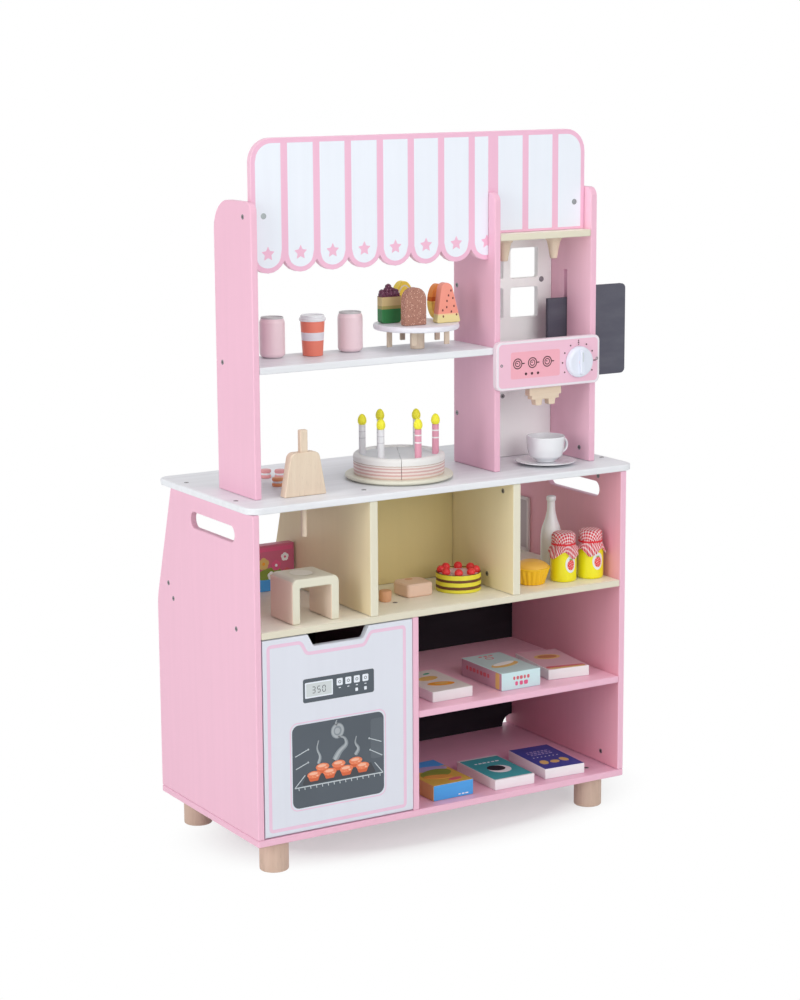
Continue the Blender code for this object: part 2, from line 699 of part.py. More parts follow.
def make_shelves():
    """Make the upper shelf, the nozzle shelf and the window panel."""
    low = (UPRIGHT_LEFT_X + BOARD + GAP, UPRIGHT_Y, UPPER_SHELF_Z)
    board("upper_shelf", low, (PARTITION_X - GAP, UPRIGHT_REAR, UPPER_SHELF_TOP), WHITE)

    left = BAY_LEFT + GAP
    right = BAY_RIGHT - GAP
    low = (left, UPRIGHT_Y, NOZZLE_SHELF_Z)
    board("nozzle_shelf", low, (right, UPRIGHT_REAR, NOZZLE_SHELF_TOP), CREAM)

    low = (left, UPRIGHT_REAR - BOARD, COUNTER_TOP + GAP)
    size = (right - left, BOARD, NOZZLE_SHELF_LIFT - 2 * GAP)
    window = add("window_panel", block(size), low, WHITE)
    top = NOZZLE_SHELF_Z - PANE_TOP_DROP
    for row in range(2):
        for column in range(2):
            shift = PANE_BAR_X / 2 if column else -PANE_BAR_X / 2 - PANE_WIDTH
            x = BAY_MIDDLE + PANE_SHIFT + shift
            z = top - PANE_HEIGHT - row * (PANE_HEIGHT + PANE_BAR_Z)
            outline = rounded(PANE_WIDTH, PANE_HEIGHT, (PANE_ROUND,) * 4, 2)
            name = f"window_panel_pane_{row}_{column}"
            low = (x, UPRIGHT_REAR - 2 * BOARD, z)
            boolean(window, cutter(name, slab(outline, 3 * BOARD, "XZ"), low))
    ease(window, EASE * 0.7)


def awning_outline():
    """Return the awning's outline, from its left edge; x from the left upright, z from the counter."""
    width = BAY_RIGHT - UPRIGHT_LEFT_X - BOARD - 2 * GAP
    step = PARTITION_X - UPRIGHT_LEFT_X - BOARD - 2 * GAP
    shelf = NOZZLE_SHELF_LIFT + BOARD + GAP
    reach = LOBE_PITCH / 2
    radius = (reach * reach + LOBE_SAG * LOBE_SAG) / (2 * LOBE_SAG)
    half_angle = math.degrees(math.asin(reach / radius))
    outline = []
    count = int(step / LOBE_PITCH)
    for i in range(count):
        middle = (LOBE_PITCH * (i + 0.5), LOBE_JUNCTION - LOBE_SAG + radius)
        lobe = arc(middle, radius, 270.0 - half_angle, 270.0 + half_angle, 8)
        outline.extend(lobe if i == 0 else lobe[1:])
    start = LOBE_PITCH * count
    if start < step:
        middle = (start + reach, LOBE_JUNCTION - LOBE_SAG + radius)
        swept = math.degrees(math.asin(max(-1.0, min(1.0, (step - middle[0]) / radius))))
        outline.extend(arc(middle, radius, 270.0 - half_angle, 270.0 + swept, 5)[1:])
    outline = [point for point in outline if point[0] <= step]
    outline += [(step, shelf), (width, shelf)]
    outline += arc((width - AWNING_CORNER, AWNING_TOP - AWNING_CORNER), AWNING_CORNER, 0.0, 90.0, 7)
    outline += arc((AWNING_CORNER, AWNING_TOP - AWNING_CORNER), AWNING_CORNER, 90.0, 180.0, 7)
    return outline


def make_awning():
    """Make the awning board, which drops into the partition's slot and stands on the nozzle shelf."""
    low = (UPRIGHT_LEFT_X + BOARD + GAP, AWNING_Y, COUNTER_TOP)
    ease(add("awning_board", slab(awning_outline(), BOARD, "XZ"), low, WHITE), EASE * 0.6)


# Coffee bay

def make_nozzles():
    """Make the two turned nozzles under the nozzle shelf."""
    slope = NOZZLE_LENGTH - NOZZLE_COLLAR
    profile = [
        (0.0, -NOZZLE_LENGTH),
        (NOZZLE_TIP_RADIUS - EASE, -NOZZLE_LENGTH),
        (NOZZLE_TIP_RADIUS, -NOZZLE_LENGTH + EASE),
        (NOZZLE_TIP_RADIUS + 0.25 * (NOZZLE_TOP_RADIUS - NOZZLE_TIP_RADIUS), -NOZZLE_COLLAR - 0.5 * slope),
        (NOZZLE_TOP_RADIUS * 0.86, -NOZZLE_COLLAR),
        (NOZZLE_TOP_RADIUS, -NOZZLE_COLLAR + EASE),
        (NOZZLE_TOP_RADIUS, 0.0),
        (0.0, 0.0),
    ]
    for name, side in (("nozzle_left", -0.5), ("nozzle_right", 0.5)):
        origin = (BAY_MIDDLE + side * NOZZLE_SPACING, NOZZLE_Y, NOZZLE_SHELF_Z - GAP)
        smooth(add(name, turned(profile, 20), origin, WOOD))


def make_control_panel():
    """Make the control panel with its stud, the knob that turns on it, and the spout block."""
    outline = rounded(PANEL_WIDTH, PANEL_HEIGHT, (PANEL_ROUND,) * 4, 4)
    panel = add("control_panel", slab(outline, BOARD, "XZ"), (PANEL_LEFT, PANEL_Y, PANEL_Z), PINK)
    knob_x = PANEL_LEFT + PANEL_WIDTH - KNOB_FROM_RIGHT
    knob_z = PANEL_Z + PANEL_HEIGHT / 2 - KNOB_DROP
    stud = cylinder(STUD_RADIUS, STUD_LENGTH + BOARD / 2, "Y", 16)
    origin = (knob_x, PANEL_Y - STUD_LENGTH, knob_z)
    ease(panel)
    boolean(panel, cutter("control_panel_stud", stud, origin), "UNION")

    front = -KNOB_THICK
    face = 0.80 * KNOB_RADIUS
    profile = [
        (0.0, 0.0),
        (KNOB_RADIUS, 0.0),
        (KNOB_RADIUS, 0.25 * KNOB_THICK),
        (0.93 * KNOB_RADIUS, 0.78 * KNOB_THICK),
        (face, KNOB_THICK - KNOB_GRIP_DEEP / 2),
        (0.0, KNOB_THICK - KNOB_GRIP_DEEP / 2),
    ]
    body = turned(profile, 32)
    bmesh.ops.rotate(body, matrix=Matrix.Rotation(math.radians(90), 3, "X"), verts=body.verts)
    axis = (knob_x, PANEL_Y - GAP, knob_z)
    knob = add("control_knob", body, axis, WHITE)
    grip_round = KNOB_GRIP_WIDTH / 2 * 0.9
    length = 2 * face * 0.98
    outline = rounded(KNOB_GRIP_WIDTH, length, (grip_round,) * 4, 3)
    grip = slab(outline, KNOB_THICK * 0.6, "XZ")
    low = (knob_x - KNOB_GRIP_WIDTH / 2, PANEL_Y - GAP + front, knob_z - length / 2)
    boolean(knob, cutter("control_knob_grip", grip, low), "UNION")
    bore = cylinder(STUD_RADIUS + SLIP, STUD_LENGTH + 2 * GAP, "Y", 16)
    low = (knob_x, PANEL_Y - GAP - STUD_LENGTH - GAP, knob_z)
    boolean(knob, cutter("control_knob_bore", bore, low))

    half = SPOUT_WIDTH / 2
    step = half - SPOUT_STEP_IN
    base = -SPOUT_BODY_DROP
    shoulder = base - SPOUT_STEP_DROP
    tooth = SPOUT_TOOTH_WIDTH / 2
    offset = SPOUT_TOOTH_SPACING / 2
    tip = shoulder - SPOUT_TOOTH_DROP
    right = [
        (0.0, shoulder),
        (offset - tooth, shoulder),
        (offset - tooth * 0.75, tip),
        (offset + tooth * 0.75, tip),
        (offset + tooth, shoulder),
        (step, shoulder),
        (step, base),
        (half, base),
        (half, SPOUT_TOP_HIDDEN),
    ]
    outline = right + [(-x, z) for x, z in reversed(right[1:])]
    low = (BAY_MIDDLE, UPRIGHT_Y, PANEL_Z)
    ease(add("spout_block", slab(outline, SPOUT_THICK, "XZ"), low, WOOD), EASE * 0.7)


def make_sign():
    """Make the chalk sign, whose notch rides on the bottom of the right upright's slot."""
    gap_left = UPRIGHT_RIGHT_X - SLIP - SIGN_INNER
    tab_bottom = SIGN_TAB_TOP - SIGN_TAB_HEIGHT - SIGN_TOP
    tab_top = SIGN_TAB_TOP - SIGN_TOP
    notch_top = tab_bottom + SIGN_NOTCH_DEPTH
    lower = (0.0, -SIGN_HEIGHT)
    corner = (SIGN_WIDTH, -SIGN_HEIGHT)
    upper = (SIGN_WIDTH, 0.0)
    inner = (0.0, 0.0)
    tab = (gap_left - SIGN_TAB_WIDTH, tab_bottom)
    tab_high = (gap_left - SIGN_TAB_WIDTH, tab_top)
    outline = fillet((0.0, notch_top), lower, corner, SIGN_ROUND, 4)
    outline += fillet(lower, corner, upper, SIGN_ROUND, 4)
    outline += fillet(corner, upper, inner, SIGN_ROUND, 4)
    outline += fillet(upper, inner, (0.0, tab_top), SIGN_ROUND, 4)
    outline += [(0.0, tab_top), tab_high, tab, (gap_left, tab_bottom), (gap_left, notch_top), (0.0, notch_top)]
    origin = (SIGN_INNER, SIGN_Y, COUNTER_TOP + SIGN_TOP)
    ease(add("chalk_sign", slab(outline, SIGN_THICK, "XZ"), origin, CHALK), EASE * 0.6)


# Ice cream press

def make_press():
    """Make the bell-shaped block and the plunger that slides down through it and the counter."""
    half = PRESS_WIDTH / 2
    shoulder = PRESS_SHOULDER / 2
    foot = (half, 0.0)
    corner = (shoulder, PRESS_HEIGHT)
    right = fillet(foot, corner, (0.0, PRESS_HEIGHT), PRESS_ROUND, 5)
    outline = [(-half, 0.0), foot] + right + [(-x, z) for x, z in reversed(right)]
    low = (PRESS_X, PRESS_Y - PRESS_THICK / 2, COUNTER_TOP + GAP)
    bell = add("press_block", slab(outline, PRESS_THICK, "XZ"), low, WOOD)
    wide = STICK_WIDTH + 2 * SLIP
    deep = STICK_THICK + 2 * SLIP
    hole = block((wide, deep, 2 * PRESS_HEIGHT))
    low = (PRESS_X - wide / 2, PRESS_Y - deep / 2, COUNTER_TOP - PRESS_HEIGHT / 2)
    boolean(bell, cutter("press_block_hole", hole, low))
    ease(bell)

    length = PRESS_HEIGHT + STICK_ABOVE - GAP
    stick = block((STICK_WIDTH, STICK_THICK, length), (-STICK_WIDTH / 2, -STICK_THICK / 2, 0.0))
    origin = (PRESS_X, PRESS_Y, COUNTER_TOP + GAP)
    plunger = add("press_plunger", stick, origin, WOOD)
    ease(plunger)
    reach = BOARD + DOWEL_BELOW
    dowel = cylinder(DOWEL_RADIUS, reach + PRESS_HEIGHT / 2, "Z", 16)
    low = (PRESS_X, PRESS_Y, COUNTER_TOP - reach)
    boolean(plunger, cutter("press_plunger_dowel", dowel, low), "UNION")


# Play pieces

def make_arch_stand():
    """Make the cream arch stand with the dimple on its top."""
    r = ARCH_ROUND
    wall = ARCH_WALL
    outer = rounded(ARCH_WIDTH, ARCH_HEIGHT, (0.0, 0.0, r, r), 5)
    inner_top = ARCH_HEIGHT - ARCH_TOP
    outline = [(wall, 0.0), (wall, inner_top), (ARCH_WIDTH - wall, inner_top), (ARCH_WIDTH - wall, 0.0)]
    outline += outer[1:] + [outer[0]]
    low = (INNER_LEFT + ARCH_FROM_LEFT, ARCH_Y, CUBBY_FLOOR + GAP)
    arch = add("arch_stand", slab(outline, ARCH_DEPTH, "XZ"), low, CREAM)
    ball = (ARCH_DIMPLE_RADIUS ** 2 + ARCH_DIMPLE_DEPTH ** 2) / (2 * ARCH_DIMPLE_DEPTH)
    edge = math.degrees(math.asin(ARCH_DIMPLE_RADIUS / ball)) * 1.25
    bowl = [(0.0, -ARCH_DIMPLE_DEPTH)]
    for i in range(1, 5):
        angle = math.radians(edge * i / 4)
        bowl.append((ball * math.sin(angle), ball - ball * math.cos(angle) - ARCH_DIMPLE_DEPTH))
    bowl.append((0.0, bowl[-1][1]))
    middle = (low[0] + ARCH_WIDTH / 2, ARCH_Y + ARCH_DEPTH / 2, low[2] + ARCH_HEIGHT)
    boolean(arch, cutter("arch_stand_dimple", turned(bowl, 20), middle))
    ease(arch, 2 * EASE, 2)


def pop_outline_block():
    """Return the outline of the three-layer ice pop, with its heap of berries on top."""
    wide = 0.0152
    right = fillet((0.0, 0.0), (wide, 0.0), (wide, 0.05), 0.004, 3)
    left = [(-x, z) for x, z in reversed(right)]
    heap = [(wide, 0.0425)] + arc((0.0104, 0.0425), 0.0044, 20.0, 110.0, 3)
    heap += arc((0.0000, 0.0468), 0.0062, 30.0, 160.0, 5)
    heap += arc((-0.0112, 0.0400), 0.0040, 60.0, 180.0, 3)
    return left + right + heap


def pop_outline_arch():
    """Return the outline of the ice pop with a round top."""
    wide = 0.0168
    return [(-wide, 0.0), (wide, 0.0)] + arc((0.0, 0.0514 - wide), wide, 0.0, 180.0, 12)


def pop_outline_wedge():
    """Return the outline of the melon wedge: a broad curved rind below, round on top."""
    foot = (0.0190, 0.0030)
    top = 0.0548
    radius = 0.0095
    tip = -0.0035
    height = top - radius - foot[1]
    lean_right = math.degrees(math.atan2(foot[0] - radius - tip, height))
    lean_left = math.degrees(math.atan2(foot[0] - radius + tip, height))
    crown = arc((tip, top - radius), radius, lean_right * 0.9, 180.0 - lean_left * 0.9, 8)
    rind = [(-foot[0], foot[1]), (-0.010, 0.0009), (0.0, 0.0), (0.010, 0.0009), foot]
    return rind + crown


def oval(half_width, half_height, steps=20):
    """Return an ellipse that stands on zero height."""
    points = []
    for i in range(steps):
        angle = 2 * math.pi * i / steps - math.pi / 2
        x = half_width * math.cos(angle)
        points.append((x, half_height + half_height * math.sin(angle)))
    return points


def make_pops():
    """Make the round tray with its foot, and the five ice pops whose sticks hang through it."""
    pops = [
        ("ice_pop_layers", -0.0325, 0.0180, 0.0050, pop_outline_block(), GREEN),
        ("ice_pop_arch", -0.0185, -0.0235, 0.0, pop_outline_arch(), CHOCOLATE),
        ("ice_pop_melon", 0.0366, -0.0205, 0.0015, pop_outline_wedge(), MELON),
        ("ice_pop_lemon", 0.0035, 0.0425, 0.0, oval(0.0150, 0.0268), YELLOW),
        ("ice_pop_mango", 0.0447, 0.0170, 0.0, oval(0.0130, 0.0248), ORANGE),
    ]
    centre = (TRAY_X, TRAY_Y, TRAY_Z)
    r = TRAY_RADIUS
    edge = TRAY_EDGE
    profile = [
        (0.0, 0.0),
        (r - edge, 0.0),
        (r, edge),
        (r, TRAY_THICK - edge),
        (r - edge, TRAY_THICK),
        (0.0, TRAY_THICK),
    ]
    tray = smooth(add("pop_tray", turned(profile, 36), centre, WHITE))
    foot = cylinder(TRAY_FOOT_RADIUS, TRAY_LIFT - GAP + TRAY_THICK / 2, "Z", 18)
    low = (TRAY_X + TRAY_FOOT_SHIFT, TRAY_Y + TRAY_FOOT_SHIFT, UPPER_SHELF_TOP + GAP)
    boolean(tray, cutter("pop_tray_foot", foot, low), "UNION")
    wide = STICK_POP_WIDTH + 2 * SLIP
    deep = STICK_POP_THICK + 2 * SLIP
    for name, x, y, extra, outline, finish in pops:
        x = TRAY_X + x
        y = TRAY_Y + y
        slot = block((wide, deep, 3 * TRAY_THICK))
        low = (x - wide / 2, y - deep / 2, TRAY_Z - TRAY_THICK)
        boolean(tray, cutter(f"pop_tray_slot_{name}", slot, low))
        origin = (x, y - POP_THICK / 2, TRAY_TOP + GAP)
        pop = add(name, slab(outline, POP_THICK, "XZ"), origin, finish)
        ease(pop, 1.5 * EASE, 1, 60.0)
        length = STICK_POP_LENGTH + extra
        stick = block((STICK_POP_WIDTH, STICK_POP_THICK, length + POP_THICK))
        low = (x - STICK_POP_WIDTH / 2, y - STICK_POP_THICK / 2, origin[2] - length)
        boolean(pop, cutter(f"{name}_stick", stick, low), "UNION")


def make_drinks():
    """Make the two cans and the drink cup on the upper shelf."""
    left = UPRIGHT_LEFT_X + BOARD
    length = PARTITION_X - left
    top = CAN_HEIGHT
    r = CAN_RADIUS
    profile = [
        (0.0, 0.0),
        (0.80 * r, 0.0),
        (0.86 * r, 0.0012),
        (r, 0.0050),
        (r, top - 0.0060),
        (0.87 * r, top - 0.0020),
        (0.87 * r, top),
        (0.80 * r, top),
        (0.78 * r, top - 0.0015),
        (0.0, top - 0.0015),
    ]
    floor = UPPER_SHELF_TOP + GAP
    places = (("can_left", CAN_LEFT_SHARE, CAN_LEFT_Y), ("can_right", CAN_RIGHT_SHARE, CAN_RIGHT_Y))
    for name, share, y in places:
        smooth(add(name, turned(profile, 22), (left + share * length, y, floor), PALE))

    lid = CUP_HEIGHT * 0.86
    profile = [
        (0.0, 0.0),
        (CUP_BASE_RADIUS, 0.0),
        (CUP_TOP_RADIUS, lid),
        (CUP_LID_RADIUS, lid + 0.0005),
        (CUP_LID_RADIUS, lid + 0.0035),
        (0.90 * CUP_LID_RADIUS, CUP_HEIGHT - 0.0010),
        (0.86 * CUP_LID_RADIUS, CUP_HEIGHT),
        (0.0, CUP_HEIGHT),
    ]
    smooth(add("drink_cup", turned(profile, 22), (left + CUP_SHARE * length, CUP_Y, floor), CORAL))


def make_cake():
    """Make the cake plate and the birthday cake with its ring of candles."""
    r = CAKE_PLATE_RADIUS
    h = CAKE_PLATE_HEIGHT
    seat = 0.92 * r
    profile = [
        (0.0, 0.0),
        (0.94 * r, 0.0),
        (r, 0.5 * h),
        (r, 0.8 * h),
        (0.985 * r, h),
        (seat, h - EASE),
        (0.0, h - EASE),
    ]
    smooth(add("cake_plate", turned(profile, 36), (CAKE_X, CAKE_Y, COUNTER_TOP + GAP), CREAM))

    r = CAKE_RADIUS
    h = CAKE_HEIGHT
    profile = [(0.0, 0.0), (r, 0.0), (r, h - 0.0025), (r - 0.0025, h), (0.0, h)]
    origin = (CAKE_X, CAKE_Y, COUNTER_TOP + GAP + CAKE_PLATE_HEIGHT - EASE + GAP)
    cake = smooth(add("birthday_cake", turned(profile, 36), origin, WHITE))
    for number, angle in enumerate(CANDLE_ANGLES):
        x = CANDLE_RING * math.cos(math.radians(angle))
        y = CANDLE_RING * math.sin(math.radians(angle))
        candle = turned(candle_profile(), 10)
        low = (CAKE_X + x, CAKE_Y + y, origin[2] + h - 0.002)
        boolean(cake, cutter(f"birthday_cake_candle_{number}", candle, low), "UNION")


CANDLE_ANGLES = (30.0, 90.0, 150.0, 210.0, 270.0, 328.0)


def candle_profile():
    """Return the profile of a candle with its flame."""
    r = CANDLE_RADIUS
    top = CANDLE_HEIGHT + 0.002
    flame = FLAME_HEIGHT
    return [
        (0.0, 0.0),
        (r, 0.0),
        (r, top),
        (1.12 * r, top + 0.22 * flame),
        (0.95 * r, top + 0.50 * flame),
        (0.50 * r, top + 0.85 * flame),
        (0.0, top + flame),
    ]


def make_coffee():
    """Make the saucer and the coffee cup on it."""
    x = BAY_RIGHT - SAUCER_FROM_RIGHT
    r = SAUCER_RADIUS
    h = SAUCER_HEIGHT
    well = 0.42 * r
    profile = [
        (0.0, 0.0),
        (0.50 * r, 0.0),
        (0.80 * r, 0.45 * h),
        (r, h - 0.0014),
        (r, h),
        (0.97 * r, h),
        (0.62 * r, 0.55 * h),
        (well, 0.52 * h),
        (0.0, 0.52 * h),
    ]
    smooth(add("saucer", turned(profile, 32), (x, SAUCER_Y, COUNTER_TOP + GAP), WHITE))

    r = TEACUP_RADIUS
    h = TEACUP_HEIGHT
    wall = TEACUP_WALL
    foot = TEACUP_FOOT
    outer = [(0.0, 0.0), (foot, 0.0), (foot + 0.0015, 0.0030), (0.78 * r, 0.28 * h), (0.94 * r, 0.60 * h), (r, h)]
    inner = [
        (r - wall * 0.8, h),
        (0.94 * r - wall, 0.60 * h),
        (0.76 * r - wall, 0.32 * h),
        (0.45 * r, 0.16 * h),
        (0.0, 0.13 * h),
    ]
    origin = (x, SAUCER_Y, COUNTER_TOP + GAP + 0.52 * SAUCER_HEIGHT + GAP)
    cup = smooth(add("coffee_cup", turned(outer + inner, 24), origin, WHITE))
    boolean(cup, cutter("coffee_cup_handle", cup_handle(r, h), origin), "UNION")


def cup_handle(radius, height):
    """Return the cup's ear: a flattened bar swept round a half ring, ending in the wall."""
    bm = bmesh.new()
    ring_radius = 0.30 * height
    start = (radius * 0.93, 0.58 * height)
    steps = 8
    thick = 0.0020
    wide = 0.0028
    loops = []
    for i in range(steps + 1):
        angle = math.radians(100.0 - 190.0 * i / steps)
        out = Vector((math.cos(angle) * 1.05, math.sin(angle)))
        middle = Vector(start) + out * ring_radius
        out.normalize()
        loop = []
        for j in range(8):
            turn = 2 * math.pi * j / 8
            offset = out * (thick * math.cos(turn))
            loop.append(bm.verts.new((middle.x + offset.x, wide * math.sin(turn), middle.y + offset.y)))
        loops.append(loop)
    for first, second in zip(loops, loops[1:]):
        for j in range(8):
            k = (j + 1) % 8
            bm.faces.new((first[j], first[k], second[k], second[j]))
    bm.faces.new(loops[0])
    bm.faces.new(list(reversed(loops[-1])))
    return bm


def make_bakery():
    """Make the sandwich slice, the berry cake and the orange tart in the cubbies."""
    floor = CUBBY_FLOOR + GAP
    wide = SLICE_WIDTH / 2
    deep = SLICE_DEPTH
    lobe = 0.28 * SLICE_WIDTH
    outline = fillet((0.0, 0.0), (0.88 * wide, 0.0), (wide, 0.6 * deep), 0.005, 3)
    outline += arc((wide - lobe, deep - lobe), lobe, -10.0, 110.0, 6)
    outline += [(-x, y) for x, y in reversed(outline)]
    origin = (DIVIDER_RIGHT_X - SLICE_FROM_RIGHT, SLICE_Y - deep / 2, floor)
    slice_block = add("sandwich_slice", slab(outline, SLICE_THICK, "XY"), origin, PEACH)
    ease(slice_block, 2 * EASE)

    r = BERRY_CAKE_RADIUS
    h = BERRY_CAKE_HEIGHT
    profile = [(0.0, 0.0), (r, 0.0), (r, h), (r - 0.002, h), (r - 0.0035, h - 0.003), (0.0, h - 0.003)]
    origin = (DIVIDER_RIGHT_X - BERRY_CAKE_FROM_RIGHT, BERRY_CAKE_Y, floor)
    cake = smooth(add("berry_cake", turned(profile, 30), origin, YELLOW))
    ring = r - 0.0035 - BERRY_RADIUS * 0.65
    for i in range(BERRY_COUNT):
        angle = 2 * math.pi * (i + 0.3) / BERRY_COUNT
        berry = bmesh.new()
        bmesh.ops.create_icosphere(berry, subdivisions=1, radius=BERRY_RADIUS)
        low = (origin[0] + ring * math.cos(angle), origin[1] + ring * math.sin(angle), floor + h + 0.0020)
        boolean(cake, cutter(f"berry_cake_berry_{i}", berry, low), "UNION")

    origin = (INNER_RIGHT - TART_FROM_RIGHT, TART_Y, floor)
    smooth(add("orange_tart", fluted_tart(), origin, ORANGE), 60.0)


def fluted_tart(flutes=20):
    """Return the tart: a fluted case that widens upwards, with a domed filling."""
    bm = bmesh.new()
    count = flutes * 2
    rings = []
    levels = (
        (TART_BASE_RADIUS, 0.0, 0.05),
        (TART_RIM_RADIUS - 0.0015, TART_HEIGHT - 0.003, 0.05),
        (TART_RIM_RADIUS, TART_HEIGHT - 0.002, 0.0),
        (TART_RIM_RADIUS, TART_HEIGHT, 0.0),
        (TART_RIM_RADIUS * 0.88, TART_HEIGHT + 0.45 * TART_DOME, 0.0),
        (TART_RIM_RADIUS * 0.55, TART_HEIGHT + 0.88 * TART_DOME, 0.0),
    )
    for radius, height, depth in levels:
        ring = []
        for i in range(count):
            angle = 2 * math.pi * i / count
            reach = radius * (1.0 - depth * (i % 2))
            ring.append(bm.verts.new((reach * math.cos(angle), reach * math.sin(angle), height)))
        rings.append(ring)
    for low, high in zip(rings, rings[1:]):
        for i in range(count):
            j = (i + 1) % count
            bm.faces.new((low[i], low[j], high[j], high[i]))
    bm.faces.new(list(reversed(rings[0])))
    tip = bm.verts.new((0.0, 0.0, TART_HEIGHT + TART_DOME))
    for i in range(count):
        bm.faces.new((rings[-1][i], rings[-1][(i + 1) % count], tip))
    return bm


def make_bottles():
    """Make the milk bottle and the two jam jars with their flared covers."""
    floor = CUBBY_FLOOR + GAP
    r = BOTTLE_RADIUS
    h = BOTTLE_HEIGHT
    neck = BOTTLE_NECK_RADIUS
    profile = [
        (0.0, 0.0),
        (0.92 * r, 0.0),
        (r, 0.0020),
        (r, 0.46 * h),
        (0.90 * r, 0.56 * h),
        (0.58 * r, 0.70 * h),
        (1.08 * neck, 0.80 * h),
        (neck, 0.93 * h),
        (1.25 * neck, 0.945 * h),
        (1.25 * neck, h),
        (0.0, h),
    ]
    origin = (INNER_RIGHT - BOTTLE_FROM_RIGHT, BOTTLE_Y, floor)
    smooth(add("milk_bottle", turned(profile, 20), origin, WHITE))

    r = JAR_RADIUS
    body = JAR_BODY_HEIGHT
    tie = body + 0.0075
    profile = [
        (0.0, 0.0),
        (0.93 * r, 0.0),
        (r, 0.0025),
        (r, body - 0.001),
        (JAR_SKIRT_RADIUS, body),
        (JAR_SKIRT_RADIUS * 0.97, body + 0.001),
        (JAR_CAP_RADIUS * 1.03, tie),
        (JAR_CAP_RADIUS * 1.03, tie + 0.003),
        (JAR_CAP_RADIUS * 1.05, tie + 0.005),
        (JAR_CAP_RADIUS, JAR_HEIGHT - 0.003),
        (JAR_CAP_RADIUS * 0.80, JAR_HEIGHT),
        (0.0, JAR_HEIGHT),
    ]
    places = {
        "jam_jar_left": (INNER_RIGHT - JAR_LEFT_FROM_RIGHT, JAR_LEFT_Y, floor),
        "jam_jar_right": (INNER_RIGHT - JAR_RIGHT_FROM_RIGHT, JAR_RIGHT_Y, floor),
    }
    for name, origin in places.items():
        smooth(add(name, turned(profile, 24), origin, YELLOW))


def card_box(name, low, thick, turn, finish):
    """Make one flat box, turned about its front left corner by some degrees."""
    bm = block((CARD_WIDTH, CARD_LENGTH, thick))
    bmesh.ops.rotate(bm, matrix=Matrix.Rotation(math.radians(turn), 3, "Z"), verts=bm.verts)
    ease(add(name, bm, low, finish), EASE * 0.5)


def make_card_boxes():
    """Make the flat boxes on the lower shelves and the one that stands in the left cubby."""
    left = LOWER_DIVIDER_X + BOARD
    length = INNER_RIGHT - left
    sides = ("left", "middle", "right")
    upper = zip(sides, CARD_UPPER_SHARE, CARD_UPPER_Y, (CARD_THIN, CARD_BROAD, CARD_THIN), CARD_UPPER_TURN)
    lower = zip(sides, CARD_LOWER_SHARE, CARD_LOWER_Y, (CARD_THICK, CARD_THIN, CARD_THIN), CARD_LOWER_TURN)
    finishes = {"left": CARD_SKY, "middle": CARD_TEAL, "right": CARD_ROSE}
    for side, share, y, thick, turn in upper:
        low = (left + share * length, y, LOWER_SHELF_TOP + GAP)
        card_box(f"card_box_upper_{side}", low, thick, turn, finishes[side])
    finishes = {"left": YELLOW, "middle": CARD_TEAL, "right": CARD_NAVY}
    for side, share, y, thick, turn in lower:
        low = (left + share * length, y, BASE_TOP + GAP)
        card_box(f"card_box_lower_{side}", low, thick, turn, finishes[side])

    low = (DIVIDER_LEFT_X - PINK_CARD_FROM_DIVIDER - CARD_LENGTH, PINK_CARD_Y, CUBBY_FLOOR + GAP)
    box = add("card_box_standing", block((CARD_LENGTH, CARD_THIN, CARD_WIDTH)), low, CARD_ROSE)
    ease(box, EASE * 0.5)


def clear_scene():
    """Remove what the new file holds."""
    for obj in list(bpy.data.objects):
        bpy.data.objects.remove(obj, do_unlink=True)


def main():
    """Build the whole stand."""
    clear_scene()
    make_base()
    make_inside()
    make_oven()
    make_uprights()
    make_shelves()
    make_awning()
    make_nozzles()
    make_control_panel()
    make_sign()
    make_press()
    make_arch_stand()
    make_pops()
    make_drinks()
    make_cake()
    make_coffee()
    make_bakery()
    make_bottles()
    make_card_boxes()


main()
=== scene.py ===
"""Toy ice cream stand: finishes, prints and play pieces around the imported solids.

Lengths are in metres, except the prints of the card boxes, which are in millimetres. at() takes the
stand's own coordinates: x from the outer face of the left side panel, y from the front edge of the side
panels towards the back, z up from the floor.
"""

import logging
import math
from collections.abc import Callable, Iterable, Sequence
from dataclasses import dataclass, field
from enum import Enum
from functools import cache, partial

import bmesh
import bpy
from bmesh.types import BMesh, BMVert
from bpy.types import Material, Node, NodeSocket, NodeTree, Object
from mathutils import Matrix, Vector, noise


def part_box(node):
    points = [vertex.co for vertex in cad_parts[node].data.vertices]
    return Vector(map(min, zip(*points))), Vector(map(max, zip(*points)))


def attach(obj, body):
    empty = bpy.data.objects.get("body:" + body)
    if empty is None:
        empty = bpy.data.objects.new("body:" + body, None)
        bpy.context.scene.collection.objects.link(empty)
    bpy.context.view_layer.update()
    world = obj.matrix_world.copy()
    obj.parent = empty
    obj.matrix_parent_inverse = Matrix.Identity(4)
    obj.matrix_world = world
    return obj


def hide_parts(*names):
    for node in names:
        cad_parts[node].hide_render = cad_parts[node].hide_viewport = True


Colour = tuple[float, float, float]
Point = tuple[float, float]
Spot = tuple[float, float, float]
Edges = tuple[float, float, float, float]

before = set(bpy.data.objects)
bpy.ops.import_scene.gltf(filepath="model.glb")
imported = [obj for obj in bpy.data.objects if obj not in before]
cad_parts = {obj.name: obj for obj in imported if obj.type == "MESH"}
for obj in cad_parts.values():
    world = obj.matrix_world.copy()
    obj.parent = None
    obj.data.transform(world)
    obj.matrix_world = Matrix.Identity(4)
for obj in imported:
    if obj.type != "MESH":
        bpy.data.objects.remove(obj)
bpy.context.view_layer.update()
STAND_ORIGIN = Vector((0.3344, 0.14575, 0.0))
PRINT_STEP = 0.00012

logging.basicConfig(level=logging.INFO, format="%(levelname)s %(message)s")
LOG = logging.getLogger("ice_cream_stand")


# Places


